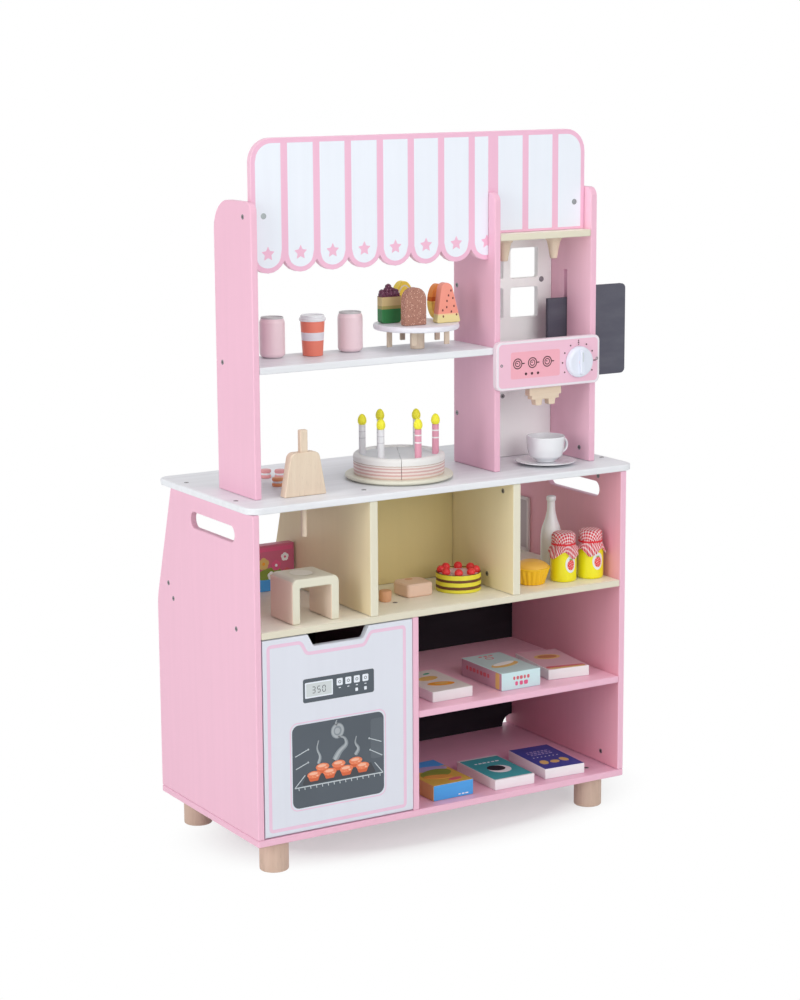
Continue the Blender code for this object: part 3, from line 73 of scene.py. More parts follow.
def at(x: float, y: float, z: float) -> Vector:
    """Return the model's place of a point given in the stand's own coordinates."""
    return Vector((x, y, z)) - STAND_ORIGIN


def own(point: Vector) -> Vector:
    """Return the stand's own coordinates of a place in the model."""
    return point + STAND_ORIGIN


def middle_of(node: str) -> Vector:
    """Return the middle of a node's box."""
    low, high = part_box(node)
    return (low + high) / 2


def foot_of(node: str) -> Vector:
    """Return the middle of the underside of a node's box."""
    middle = middle_of(node)
    middle.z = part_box(node)[0].z
    return middle


def top_of(node: str) -> float:
    """Return the height of the top of a node's box."""
    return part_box(node)[1].z


def spot_on_ring(radius: float, degrees: float) -> Point:
    """Return the two coordinates of a point of a circle about the origin."""
    return radius * math.cos(math.radians(degrees)), radius * math.sin(math.radians(degrees))


# Shader nodes


class Sketch:
    """Adds nodes to one tree in short steps."""

    def __init__(self, tree: NodeTree) -> None:
        """Keep the tree that nodes go into."""
        self.tree = tree

    def node(self, kind: str, inputs: dict | None = None, **settings: object) -> Node:
        """Add a node.

        Args:
            kind: the node's type, without the word ShaderNode.
            inputs: socket name or number, and the value or socket that it takes.
            settings: the node's own settings.

        Returns:
            The new node.
        """
        node = self.tree.nodes.new("ShaderNode" + kind)
        for name, value in settings.items():
            setattr(node, name, value)
        self.feed(node, inputs or {})
        return node

    def feed(self, node: Node, inputs: dict) -> None:
        """Link or set a node's inputs, given by socket name or number."""
        for key, value in inputs.items():
            if isinstance(value, NodeSocket):
                self.tree.links.new(value, node.inputs[key])
            else:
                node.inputs[key].default_value = value

    def sum(self, operation: str, *values: object) -> NodeSocket:
        """Return the result of a Math node."""
        return self.node("Math", dict(enumerate(values)), operation=operation).outputs[0]

    def swing(self, pattern: object, width: object) -> NodeSocket:
        """Return a pattern from 0 to 1 as a value that swings about 0."""
        return self.sum("MULTIPLY", self.sum("SUBTRACT", pattern, 0.5), width)

    def ease(self, value: object, low: float, high: float) -> NodeSocket:
        """Return 0 below low and 1 above high, with a smooth step between."""
        inputs = {"Value": value, "From Min": low, "From Max": high}
        return self.node("MapRange", inputs, interpolation_type="SMOOTHSTEP").outputs[0]

    def mix(self, share: object, first: object, second: object) -> NodeSocket:
        """Return a mix of two colours."""
        return self.node("Mix", {0: share, 6: full(first), 7: full(second)}, data_type="RGBA").outputs[2]

    def tint(self, colour: object, strength: object) -> NodeSocket:
        """Return a colour made lighter or darker by a factor."""
        return self.node("VectorMath", {0: colour, 3: strength}, operation="SCALE").outputs[0]

    def noise(self, where: object, scale: float, detail: float = 3.0, roughness: float = 0.5) -> NodeSocket:
        """Return a noise pattern from 0 to 1."""
        inputs = {"Vector": where, "Scale": scale, "Detail": detail, "Roughness": roughness}
        return self.node("TexNoise", inputs).outputs[0]

    def place(self) -> NodeSocket:
        """Return the point's place in the object's own coordinates."""
        return self.node("TexCoord").outputs["Object"]

    def stretched(self, place: object, stretch: object) -> NodeSocket:
        """Return a place with its x, y and z multiplied by factors."""
        return self.node("Mapping", {"Vector": place, "Scale": stretch}).outputs[0]

    def split(self, vector: object) -> tuple[NodeSocket, NodeSocket, NodeSocket]:
        """Return the x, y and z of a vector."""
        node = self.node("SeparateXYZ", {0: vector})
        return node.outputs[0], node.outputs[1], node.outputs[2]


def full(value: object) -> object:
    """Return a colour with its alpha, and anything else unchanged."""
    return (*value, 1.0) if isinstance(value, tuple) and len(value) == 3 else value


def start_group(name: str, outputs: dict[str, str], inputs: dict[str, object]) -> tuple[NodeTree, Sketch, Node, Node]:
    """Start a node group.

    Args:
        name: the group's name.
        outputs: each output's name, with its socket type.
        inputs: each input's name, with its first value: a number, a vector of three or a colour of four.

    Returns:
        The group, its sketch, its input node and its output node.
    """
    group = bpy.data.node_groups.new(name, "ShaderNodeTree")
    for label, value in inputs.items():
        kind = "Float" if isinstance(value, float) else {3: "Vector", 4: "Color"}[len(value)]
        socket = group.interface.new_socket(label, in_out="INPUT", socket_type="NodeSocket" + kind)
        socket.default_value = value
    for label, kind in outputs.items():
        group.interface.new_socket(label, in_out="OUTPUT", socket_type="NodeSocket" + kind)
    return group, Sketch(group), group.nodes.new("NodeGroupInput"), group.nodes.new("NodeGroupOutput")


SURFACE = {"Colour": "Color", "Roughness": "Float", "Height": "Float"}


@cache
def painted_group() -> NodeTree:
    """Return the group for sprayed paint on board: faint streaks, clouding and a fine stipple."""
    inputs = {"Colour": (0.8, 0.8, 0.8, 1.0), "Stretch": (4.0, 60.0, 60.0), "Streak": 0.05, "Clouding": 0.04}
    group, sketch, given, result = start_group("painted_board", SURFACE, {**inputs, "Roughness": 0.42})
    place = sketch.place()
    streaks = sketch.noise(sketch.stretched(place, given.outputs["Stretch"]), 1.0, 5.0, 0.62)
    clouds = sketch.noise(place, 7.0, 2.0)
    stipple = sketch.noise(place, 420.0, 2.0)
    streak = sketch.swing(streaks, given.outputs["Streak"])
    strength = sketch.sum("ADD", sketch.sum("ADD", 1.0, streak), sketch.swing(clouds, given.outputs["Clouding"]))
    height = sketch.sum("ADD", sketch.sum("MULTIPLY", streaks, 0.55), sketch.sum("MULTIPLY", stipple, 0.45))
    rough = sketch.sum("ADD", given.outputs["Roughness"], sketch.swing(clouds, 0.16))
    colour = sketch.tint(given.outputs["Colour"], strength)
    sketch.feed(result, {"Colour": colour, "Roughness": rough, "Height": height})
    return group


@cache
def timber_group() -> NodeTree:
    """Return the group for bare wood: soft growth bands, dark fibres and pores."""
    inputs = {"Light": (0.8, 0.6, 0.4, 1.0), "Dark": (0.6, 0.4, 0.25, 1.0), "Stretch": (60.0, 60.0, 4.0), "Fibre": 0.35}
    group, sketch, given, result = start_group("bare_timber", SURFACE, inputs)
    stretched = sketch.stretched(sketch.place(), given.outputs["Stretch"])
    bands = sketch.noise(stretched, 0.9, 2.0, 0.5)
    rings = sketch.sum("PINGPONG", sketch.sum("MULTIPLY", bands, 7.0), 1.0)
    fibres = sketch.noise(stretched, 7.0, 4.0, 0.65)
    pores = sketch.ease(sketch.noise(stretched, 16.0, 1.0), 0.62, 0.72)
    fibre_share = sketch.sum("MULTIPLY", fibres, given.outputs["Fibre"])
    share = sketch.sum("ADD", sketch.sum("MULTIPLY", rings, 0.35), fibre_share)
    colour = sketch.mix(share, given.outputs["Light"], given.outputs["Dark"])
    colour = sketch.tint(colour, sketch.sum("SUBTRACT", 1.0, sketch.sum("MULTIPLY", pores, 0.10)))
    rough = sketch.sum("ADD", 0.50, sketch.sum("MULTIPLY", fibres, 0.18))
    height = sketch.sum("SUBTRACT", fibres, sketch.sum("MULTIPLY", pores, 0.5))
    sketch.feed(result, {"Colour": colour, "Roughness": rough, "Height": height})
    return group


@cache
def speck_group() -> NodeTree:
    """Return the group for small specks strewn over a surface, as a mask from 0 to 1."""
    inputs = {"Stretch": (200.0, 200.0, 200.0), "Size": 0.25, "Share": 0.5}
    group, sketch, given, result = start_group("strewn_specks", {"Mask": "Float"}, inputs)
    stretched = sketch.stretched(sketch.place(), given.outputs["Stretch"])
    cells = sketch.node("TexVoronoi", {"Vector": stretched, "Scale": 1.0, "Randomness": 0.9})
    away = sketch.sum("DIVIDE", cells.outputs["Distance"], given.outputs["Size"])
    inside = sketch.sum("SUBTRACT", 1.0, sketch.ease(away, 0.75, 1.0))
    red = sketch.node("SeparateColor", {0: cells.outputs["Color"]}).outputs[0]
    kept = sketch.sum("LESS_THAN", red, given.outputs["Share"])
    sketch.feed(result, {"Mask": sketch.sum("MULTIPLY", inside, kept)})
    return group


# Finishes


class Grain(Enum):
    """How far a board's streaks are stretched along x, y and z, as pattern turns per metre."""

    ALONG_X = (5.0, 90.0, 90.0)
    ALONG_Z = (90.0, 90.0, 5.0)
    NONE = (40.0, 40.0, 40.0)


def start_material(name: str) -> tuple[Material, Sketch, Node]:
    """Return a new material, its sketch and its Principled shader."""
    material = bpy.data.materials.new(name)
    material.use_nodes = True
    return material, Sketch(material.node_tree), material.node_tree.nodes["Principled BSDF"]


def relief(sketch: Sketch, shader: Node, height: object, strength: float, distance: float = 0.0004) -> None:
    """Feed a height, which stands up to a distance in metres, into the shader's normal."""
    bump = sketch.node("Bump", {"Height": height, "Strength": strength, "Distance": distance})
    sketch.feed(shader, {"Normal": bump.outputs[0]})


@dataclass(frozen=True)
class Finish:
    """The name and the main colour of a material; each kind of finish feeds its own shader."""

    name: str
    colour: Colour

    @cache
    def material(self) -> Material:
        """Return the finish's material, which is made once."""
        material, sketch, shader = start_material(self.name)
        self.dress(sketch, shader)
        return material

    def dress(self, sketch: Sketch, shader: Node) -> None:
        """Feed the shader with the finish's pattern."""
        raise NotImplementedError


@dataclass(frozen=True)
class Painted(Finish):
    """Satin paint on board or turned wood."""

    roughness: float = 0.42
    streak: float = 0.05
    clouding: float = 0.04
    grain: Grain = Grain.NONE
    bump: float = 0.12
    coat: float = 0.0
    gloss: float = 0.35

    def pattern(self, sketch: Sketch) -> object:
        """Return the colour under the streaks, or the socket that gives it."""
        return full(self.colour)

    def dress(self, sketch: Sketch, shader: Node) -> None:
        """Put streaks and clouding over the paint's colour and feed the shader."""
        given = {"Colour": self.pattern(sketch), "Stretch": self.grain.value, "Streak": self.streak}
        given |= {"Clouding": self.clouding, "Roughness": self.roughness}
        made = sketch.node("Group", given, node_tree=painted_group()).outputs
        sketch.feed(shader, {"Base Color": made["Colour"], "Roughness": made["Roughness"]})
        sketch.feed(shader, {"Specular IOR Level": self.gloss, "Coat Weight": self.coat, "Coat Roughness": 0.2})
        relief(sketch, shader, made["Height"], self.bump)


@dataclass(frozen=True)
class FacedBoard(Painted):
    """A board painted one colour on its faces across an axis, or on one of the two, and another elsewhere."""

    edge: Colour = (0.8, 0.8, 0.8)
    axis: int = 1
    side: int = 0

    def pattern(self, sketch: Sketch) -> NodeSocket:
        """Return the colour of the face or of the edge."""
        toward = sketch.split(sketch.node("TexCoord").outputs["Normal"])[self.axis]
        toward = sketch.sum("MULTIPLY", toward, self.side) if self.side else sketch.sum("ABSOLUTE", toward)
        return sketch.mix(sketch.ease(toward, 0.80, 0.92), self.edge, self.colour)


@dataclass(frozen=True)
class Banded(Painted):
    """Paint in level bands, from the foot of a piece to its top."""

    low: float = 0.0
    high: float = 1.0
    bands: tuple[tuple[float, Colour], ...] = ()
    waver: float = 0.0

    def pattern(self, sketch: Sketch) -> NodeSocket:
        """Return the colour of the band at the point's height."""
        place = sketch.place()
        height = sketch.split(place)[2]
        if self.waver:
            height = sketch.sum("ADD", height, sketch.swing(sketch.noise(place, 160.0), self.waver))
        share = sketch.node("MapRange", {"Value": height, "From Min": self.low, "From Max": self.high}).outputs[0]
        ramp = sketch.node("ValToRGB", {0: share})
        ramp.color_ramp.interpolation = "CONSTANT"
        stops = ramp.color_ramp.elements
        for number, (start, colour) in enumerate(self.bands):
            stop = stops[number] if number < len(stops) else stops.new(start)
            stop.position = start
            stop.color = full(colour)
        return ramp.outputs[0]


@dataclass(frozen=True)
class Specked(Painted):
    """Paint with small specks over it; each kind of speck is a colour, turns per metre, a size and a share."""

    specks: tuple[tuple[Colour, float, float, float], ...] = ()

    def pattern(self, sketch: Sketch) -> object:
        """Return the colour of the ground or of the speck at the point."""
        colour = self.colour
        for number, (speck, scale, size, share) in enumerate(self.specks):
            given = {"Stretch": (scale, scale * (1.0 + 0.13 * number), scale), "Size": size, "Share": share}
            mask = sketch.node("Group", given, node_tree=speck_group()).outputs["Mask"]
            colour = sketch.mix(mask, colour, speck)
        return full(colour)


@dataclass(frozen=True)
class Timber(Finish):
    """Pale bare wood under a clear seal, with its light wood as the main colour."""

    dark: Colour
    grain: Grain = Grain.ALONG_Z
    fibre: float = 0.35

    def dress(self, sketch: Sketch, shader: Node) -> None:
        """Feed the shader with the wood's bands, fibres and pores."""
        given = {"Light": full(self.colour), "Dark": full(self.dark), "Stretch": self.grain.value, "Fibre": self.fibre}
        made = sketch.node("Group", given, node_tree=timber_group()).outputs
        sketch.feed(shader, {"Base Color": made["Colour"], "Roughness": made["Roughness"]})
        relief(sketch, shader, made["Height"], 0.25)


@dataclass(frozen=True)
class Steel(Finish):
    """Plated steel of bolts, nuts and pins."""

    roughness: float = 0.36

    def dress(self, sketch: Sketch, shader: Node) -> None:
        """Feed the shader with lightly clouded metal."""
        cloud = sketch.noise(sketch.place(), 300.0, 3.0)
        shade = sketch.tint(self.colour, sketch.sum("ADD", 0.85, sketch.sum("MULTIPLY", cloud, 0.3)))
        rough = sketch.sum("ADD", self.roughness - 0.08, sketch.sum("MULTIPLY", cloud, 0.16))
        sketch.feed(shader, {"Base Color": shade, "Roughness": rough, "Metallic": 1.0})
        relief(sketch, shader, cloud, 0.1)


@dataclass(frozen=True)
class Chalkboard(Finish):
    """Matt dark paint with a little chalk dust left in it."""

    dust: float = 0.10

    def dress(self, sketch: Sketch, shader: Node) -> None:
        """Feed the shader with wiped dust over the dark paint."""
        place = sketch.place()
        swirls = sketch.ease(sketch.noise(sketch.stretched(place, (9.0, 9.0, 30.0)), 1.0, 5.0, 0.6), 0.35, 0.8)
        grit = sketch.noise(place, 900.0, 2.0)
        share = sketch.sum("MULTIPLY", sketch.sum("MULTIPLY", swirls, self.dust), sketch.sum("ADD", 0.4, grit))
        colour = sketch.mix(share, self.colour, (0.55, 0.56, 0.60))
        rough = sketch.sum("ADD", 0.60, sketch.sum("MULTIPLY", swirls, 0.2))
        sketch.feed(shader, {"Base Color": colour, "Roughness": rough, "Specular IOR Level": 0.12})
        relief(sketch, shader, grit, 0.2, 0.0002)


@dataclass(frozen=True)
class Gingham(Finish):
    """Checked cotton: thread of the main colour over a ground, with the weave in relief."""

    ground: Colour
    checks: float = 3.2

    def dress(self, sketch: Sketch, shader: Node) -> None:
        """Feed the shader with the checks, which follow the piece's own UV map, in centimetres."""
        stripes, weave = [], []
        for way in sketch.split(sketch.node("UVMap", uv_map="cloth").outputs[0])[:2]:
            turn = sketch.sum("FRACT", sketch.sum("MULTIPLY", way, self.checks))
            away = sketch.sum("ABSOLUTE", sketch.sum("SUBTRACT", turn, 0.5))
            stripes.append(sketch.ease(away, 0.17, 0.21))
            weave.append(sketch.sum("PINGPONG", sketch.sum("MULTIPLY", way, self.checks * 8.0), 0.5))
        share = sketch.sum("MULTIPLY", sketch.sum("ADD", *stripes), 0.5)
        colour = sketch.mix(share, self.ground, self.colour)
        sketch.feed(shader, {"Base Color": colour, "Roughness": 0.85, "Sheen Weight": 0.25})
        relief(sketch, shader, sketch.sum("ADD", *weave), 0.35, 0.0003)


PINK: Colour = (0.850, 0.500, 0.635)
PINK_LINE: Colour = (0.850, 0.490, 0.650)
# The cubby cream made deeper and more saturated, which is painted shade for the faces inside the cubbies
CREAM: Colour = (0.860, 0.745, 0.490)

pink_board = partial(FacedBoard, roughness=0.40, gloss=0.22, edge=PINK)
upright = partial(Painted, grain=Grain.ALONG_Z, streak=0.05)
ink = partial(Painted, roughness=0.36)
banded = partial(Banded, colour=PINK, roughness=0.40)
baked = partial(Specked, roughness=0.42)

PINK_UPRIGHT = Painted("pink_paint_upright", PINK, grain=Grain.ALONG_Z, streak=0.07, roughness=0.40, gloss=0.22)
PINK_LEVEL = Painted("pink_paint_level", PINK, grain=Grain.ALONG_X, streak=0.10, roughness=0.40, gloss=0.22)
# Lower shelf: its top and bottom faces are a lighter pink than its edges, which is painted light; the paint is the same
# pink
PINK_SHELF_LIT = pink_board("pink_paint_shelf", (0.94, 0.55, 0.69), grain=Grain.ALONG_X, streak=0.14, axis=2)
# Right side panel: its inner face is a deeper pink than its other faces, which is painted shade; the paint is the same
# pink
PINK_INSIDE_SHADED = pink_board("pink_paint_inside", (0.88, 0.43, 0.53), grain=Grain.ALONG_Z, streak=0.09, axis=0, side=-1)
# Right upright: its face towards the coffee bay is a lighter pink than its other faces, which is painted light; the
# paint is the same pink
PINK_BAY_LIT = pink_board("pink_paint_bay", (0.96, 0.60, 0.73), grain=Grain.ALONG_Z, streak=0.07, axis=0, side=-1)
WHITE_LEVEL = Painted("white_paint_level", (0.80, 0.81, 0.85), grain=Grain.ALONG_X, streak=0.24, clouding=0.08)
WHITE_UPRIGHT = upright("white_paint_upright", (0.725, 0.740, 0.825))
# Window panel: a whiter copy of the white paint, which is painted light for the deep coffee bay
WINDOW_WHITE_LIT = upright("white_paint_window", (0.97, 0.98, 0.98))
# Cubby dividers: their side faces take the deeper cream, which is painted shade; their edges take a paler cream
CREAM_UPRIGHT_SHADED_FACES = FacedBoard(
    "cream_paint_upright_shaded_faces", CREAM, grain=Grain.ALONG_Z, streak=0.06, edge=(0.76, 0.715, 0.58), axis=0
)
# Back panel of the cubbies: a darker, more saturated copy of the cubby cream, which is painted shade
CREAM_BACK_SHADED = upright("cream_paint_back", (0.66, 0.540, 0.265), streak=0.06)
CREAM_SHELF = FacedBoard(
    "cream_paint_shelf", (0.95, 0.905, 0.780), grain=Grain.ALONG_X, streak=0.14, edge=(0.74, 0.69, 0.56), axis=2
)
AWNING = FacedBoard("awning_paint", PINK_LINE, grain=Grain.ALONG_Z, edge=(0.85, 0.53, 0.66))
CHALK = Chalkboard("chalkboard_paint", (0.100, 0.100, 0.132))
BACK_BOARD = Chalkboard("dark_back_board", (0.016, 0.013, 0.018), dust=0.02)
WOOD = Timber("pale_wood", (0.80, 0.67, 0.53), (0.70, 0.55, 0.42))
FOOT_WOOD = Timber("foot_wood", (0.64, 0.475, 0.385), (0.52, 0.36, 0.275))
WOOD_LEVEL = Timber("pale_wood_level", (0.80, 0.66, 0.52), (0.70, 0.54, 0.40), grain=Grain.ALONG_X)
BOLT = Steel("bolt_steel", (0.27, 0.27, 0.28))
NUT = Steel("nut_steel", (0.30, 0.33, 0.34), 0.42)
PIN = Steel("pin_steel_rod", (0.55, 0.56, 0.58))
# Dark floor of each bolt's key hollow: painted shade
SOCKET_SHADE = Painted("socket_shadow", (0.03, 0.03, 0.03), roughness=0.7)
PRINT_PINK = ink("printed_pink", PINK_LINE, clouding=0.02)
PRINT_WHITE = ink("printed_white", (0.820, 0.855, 0.935), grain=Grain.ALONG_Z)
PRINT_BLUSH = ink("printed_pale_pink", (0.815, 0.560, 0.715), clouding=0.05)
PRINT_WALL = ink("printed_oven_wall", (0.115, 0.135, 0.160), roughness=0.30, clouding=0.3)
PRINT_CUP = ink("printed_bun_side", (0.66, 0.13, 0.050), streak=0.3, clouding=0.2)
PRINT_PALE = ink("printed_pale_grey", (0.62, 0.66, 0.68))
PRINT_GLASS = ink("printed_oven_glass", (0.088, 0.105, 0.128), roughness=0.30, clouding=0.30)
PRINT_DARK = ink("printed_dark_grey", (0.060, 0.064, 0.075))
PRINT_LINE = ink("printed_rail_grey", (0.58, 0.63, 0.67))
PRINT_STEAM = ink("printed_steam", (0.25, 0.28, 0.31), clouding=0.6)
PRINT_STEAM_LIGHT = ink("printed_steam_light", (0.40, 0.43, 0.46), clouding=0.6)
PRINT_ORANGE = baked(
    "printed_bun_orange", (0.80, 0.215, 0.105), roughness=0.36, specks=(((0.90, 0.42, 0.22), 420.0, 0.34, 0.5),)
)
PRINT_CREAM = ink("printed_bun_light", (0.90, 0.47, 0.33))
PRINT_ROSE_PALE = ink("printed_rose_pale", (0.88, 0.42, 0.51))
PRINT_BROWN = ink("printed_dark_brown", (0.055, 0.016, 0.022), roughness=0.40)
PANEL_FACE = ink("printed_panel_pink", (0.86, 0.53, 0.66), clouding=0.06)
PANEL_EDGE = FacedBoard("panel_white_edge", (0.83, 0.77, 0.83), roughness=0.38, edge=(0.84, 0.69, 0.77))
CHINA = Painted(
    "white_china", (0.82, 0.83, 0.865), roughness=0.22, streak=0.0, clouding=0.02, bump=0.03, coat=0.3, gloss=0.5
)
KNOB_WHITE = Painted("knob_paint", (0.765, 0.795, 0.900), roughness=0.30, streak=0.02, bump=0.05)
CREAM_TOY = FacedBoard("cream_toy", (0.92, 0.76, 0.63), roughness=0.38, edge=(0.75, 0.72, 0.595), axis=0)
PEACH_TOY = Painted("peach_toy", (0.88, 0.62, 0.49), roughness=0.45, clouding=0.10)
FRAME_GREY = Painted("frame_grey", (0.72, 0.62, 0.64), roughness=0.40)
CARD_GREY = Painted("picture_grey", (0.50, 0.40, 0.43), roughness=0.35, clouding=0.3)
CRUMB = baked(
    "crumb_brown", (0.40, 0.190, 0.140), roughness=0.55, bump=0.3,
    specks=(((0.74, 0.47, 0.38), 430.0, 0.34, 0.60), ((0.14, 0.05, 0.045), 400.0, 0.26, 0.30)),
)
SEED = Painted("melon_seed", (0.16, 0.03, 0.03), roughness=0.4)
LEMON = Painted("lemon_yellow", (0.88, 0.66, 0.085), clouding=0.15)
# Plum berries: the pale specks are partly the berries' own colour and partly painted highlights
PLUM = baked("plum_berries", (0.120, 0.030, 0.068), specks=(((0.48, 0.24, 0.32), 520.0, 0.32, 0.5),))
FLAME = Painted("flame_yellow", (0.88, 0.82, 0.045), roughness=0.40, clouding=0.25)
CREAM_TOP = baked("pale_icing", (0.80, 0.60, 0.63), roughness=0.5, specks=(((0.60, 0.30, 0.36), 420.0, 0.30, 0.5),))
BERRY = baked("berry_red", (0.80, 0.040, 0.045), roughness=0.36, specks=(((0.90, 0.30, 0.28), 600.0, 0.22, 0.45),))
TART = Painted("tart_orange", (0.95, 0.56, 0.020), clouding=0.10)
FILLING = Painted("tart_filling", (0.94, 0.53, 0.085), roughness=0.40, clouding=0.15)
BUN = Painted("bun_brown", (0.72, 0.38, 0.215), roughness=0.55, clouding=0.2)
SWEET_ROSE = Painted("sweet_rose", (0.76, 0.34, 0.35), roughness=0.45)
SWEET_ORANGE = Painted("sweet_orange", (0.86, 0.36, 0.17), roughness=0.45)
JAM = Painted("jam_yellow", (0.90, 0.83, 0.014), roughness=0.30, coat=0.2)
BERRY_SEED = Painted("berry_seed_pink", (0.88, 0.45, 0.42), roughness=0.4)
LEAF = Painted("leaf_green", (0.30, 0.42, 0.10), roughness=0.4)
RIBBON = Painted("ribbon_red", (0.74, 0.030, 0.045), roughness=0.50, streak=0.2)
TRAY_WHITE = Painted("tray_white", (0.80, 0.79, 0.86), roughness=0.40, grain=Grain.ALONG_X)
CAN_TOP = Painted("can_top_grey", (0.56, 0.55, 0.56), roughness=0.35, coat=0.1)
PLATE_CREAM = Painted("plate_cream", (0.73, 0.72, 0.60), clouding=0.05)
MILK = Painted("milk_white", (0.93, 0.95, 0.98), roughness=0.30, clouding=0.02, bump=0.03, gloss=0.4)
# A paler oval on the top of the arch stand
TOP_OVAL_PAINT = Painted("arch_stand_top_oval", (0.88, 0.86, 0.77), roughness=0.34)
# Grey top of the cake inside its icing rim: painted shade in the recess
ICING_RECESS_SHADE = Painted("icing_recess_painted_shade", (0.72, 0.74, 0.76), roughness=0.5, clouding=0.12)
GINGHAM = Gingham("gingham_red", (0.66, 0.012, 0.035), (0.90, 0.84, 0.86), 2.3)

POP_FOOT = 0.7163
MELON_BANDS = banded(
    "melon_bands", roughness=0.45, low=POP_FOOT, high=0.7717, waver=0.0008,
    bands=((0.0, (0.80, 0.68, 0.33)), (0.19, (0.86, 0.60, 0.33)), (0.225, (0.87, 0.315, 0.240))),
)
MANGO_BANDS = banded(
    "mango_bands", roughness=0.42, low=POP_FOOT, high=0.7660, waver=0.002,
    bands=((0.0, (0.86, 0.58, 0.12)), (0.52, (0.62, 0.13, 0.012)), (0.64, (0.84, 0.27, 0.050))),
)
LAYER_BANDS = banded(
    "layer_bands", low=POP_FOOT, high=0.7563, waver=0.0006,
    bands=(
        (0.0, (0.040, 0.225, 0.075)), (0.49, (0.42, 0.36, 0.13)), (0.60, (0.64, 0.50, 0.25)),
        (0.90, (0.16, 0.04, 0.06)),
    ),
)
CAN_PAINT = banded(
    "can_pink", roughness=0.32, streak=0.02, low=0.6801, high=0.7349, coat=0.2,
    bands=((0.0, (0.80, 0.68, 0.72)), (0.035, (0.90, 0.690, 0.745))),
)
CORAL: Colour = (0.86, 0.235, 0.165)
CUP_BANDS = banded(
    "cup_bands", low=0.6801, high=0.7274, bands=((0.0, CORAL), (0.44, (0.80, 0.77, 0.84)), (0.675, CORAL))
)
SPONGE: Colour = (0.80, 0.71, 0.68)
CAKE_BANDS = banded(
    "cake_bands", roughness=0.48, low=0.5113, high=0.5403, waver=0.0010, clouding=0.10,
    bands=(
        (0.0, (0.70, 0.52, 0.46)), (0.08, (0.80, 0.71, 0.67)), (0.17, (0.68, 0.42, 0.40)), (0.25, (0.81, 0.71, 0.68)),
        (0.33, (0.64, 0.40, 0.39)), (0.41, SPONGE), (0.49, (0.64, 0.42, 0.40)), (0.56, (0.80, 0.74, 0.71)),
        (0.62, (0.52, 0.40, 0.36)), (0.66, (0.80, 0.79, 0.78)),
    ),
)


def candle_paint(name: str, foot: Colour, ring: Colour, wax: Colour, starts: Edges) -> Banded:
    """Return the paint of a candle with two rings, whose edges are given as shares of its height."""
    colours = (foot, ring, wax, ring, wax)
    return banded(name, low=0.5403, high=0.5808, bands=tuple(zip((0.0, *starts), colours)))


CANDLE_WHITE = candle_paint(
    "candle_white_bands", (0.76, 0.76, 0.79), (0.60, 0.60, 0.64), (0.78, 0.78, 0.81), (0.48, 0.51, 0.70, 0.73)
)
CANDLE_PINK = candle_paint(
    "candle_pink_bands", (0.74, 0.33, 0.44), (0.86, 0.80, 0.82), (0.74, 0.33, 0.44), (0.47, 0.52, 0.72, 0.77)
)
SPONGE_YELLOW: Colour = (0.82, 0.74, 0.055)
COCOA: Colour = (0.15, 0.055, 0.020)
BERRY_CAKE_BANDS = banded(
    "berry_cake_bands", roughness=0.42, low=0.3378, high=0.3638, waver=0.0006,
    bands=(
        (0.0, SPONGE_YELLOW), (0.18, COCOA), (0.35, SPONGE_YELLOW), (0.57, COCOA), (0.72, SPONGE_YELLOW),
        (0.965, (0.20, 0.10, 0.040)),
    ),
)


# Shapes


def moved(bm: BMesh, x: float = 0.0, y: float = 0.0, z: float = 0.0) -> BMesh:
    """Shift a shape and return it."""
    bmesh.ops.translate(bm, vec=(x, y, z), verts=bm.verts)
    return bm


def turned(bm: BMesh, degrees: float, axis: str) -> BMesh:
    """Turn a shape about an axis through the origin and return it."""
    bmesh.ops.rotate(bm, cent=Vector(), matrix=Matrix.Rotation(math.radians(degrees), 3, axis), verts=bm.verts)
    return bm


def joined(parts: Iterable[BMesh]) -> BMesh:
    """Put several shapes into one."""
    whole = bmesh.new()
    for part in parts:
        mesh = bpy.data.meshes.new("joining")
        part.to_mesh(mesh)
        part.free()
        whole.from_mesh(mesh)
        bpy.data.meshes.remove(mesh)
    return whole


def bevelled(bm: BMesh, geom: list, offset: float, segments: int, affect: str = "VERTICES", **more: bool) -> BMesh:
    """Round corners or edges of a shape and return it."""
    settings = {"affect": affect, "profile": 0.5, "material": -1, "clamp_overlap": True, **more}
    bmesh.ops.bevel(bm, geom=geom, offset=offset, segments=segments, **settings)
    return bm


def rounded(bm: BMesh, offset: float, segments: int = 3, angle: float = 30.0) -> BMesh:
    """Round the edges of a shape that are sharper than an angle."""
    bmesh.ops.recalc_face_normals(bm, faces=bm.faces)
    limit = math.radians(angle)
    sharp = [edge for edge in bm.edges if len(edge.link_faces) == 2 and edge.calc_face_angle() > limit]
    return bevelled(bm, sharp, offset, segments, "EDGES")


def block(width: float, depth: float, height: float) -> BMesh:
    """Return a box that stands on the origin."""
    bm = bmesh.new()
    bmesh.ops.create_cube(bm, size=1.0)
    bmesh.ops.scale(bm, vec=(width, depth, height), verts=bm.verts)
    return moved(bm, z=height / 2)


def curved(points: Sequence[Point], radius: float, steps: int = 4) -> list[Point]:
    """Round the inner corners of a profile."""
    result = [points[0]]
    for before, corner, after in zip(points, points[1:], points[2:]):
        here = Vector(corner)
        back = Vector(before) - here
        ahead = Vector(after) - here
        reach = min(radius, back.length * 0.45, ahead.length * 0.45)
        first = here + back.normalized() * reach
        last = here + ahead.normalized() * reach
        for step in range(steps + 1):
            t = step / steps
            spot = first.lerp(here, t).lerp(here.lerp(last, t), t)
            result.append((spot.x, spot.y))
    return [*result, points[-1]]


def drum(radius: float, low: float, high: float) -> list[Point]:
    """Return the profile of a drum between two heights."""
    return [(0.0, low), (radius, low), (radius, high), (0.0, high)]


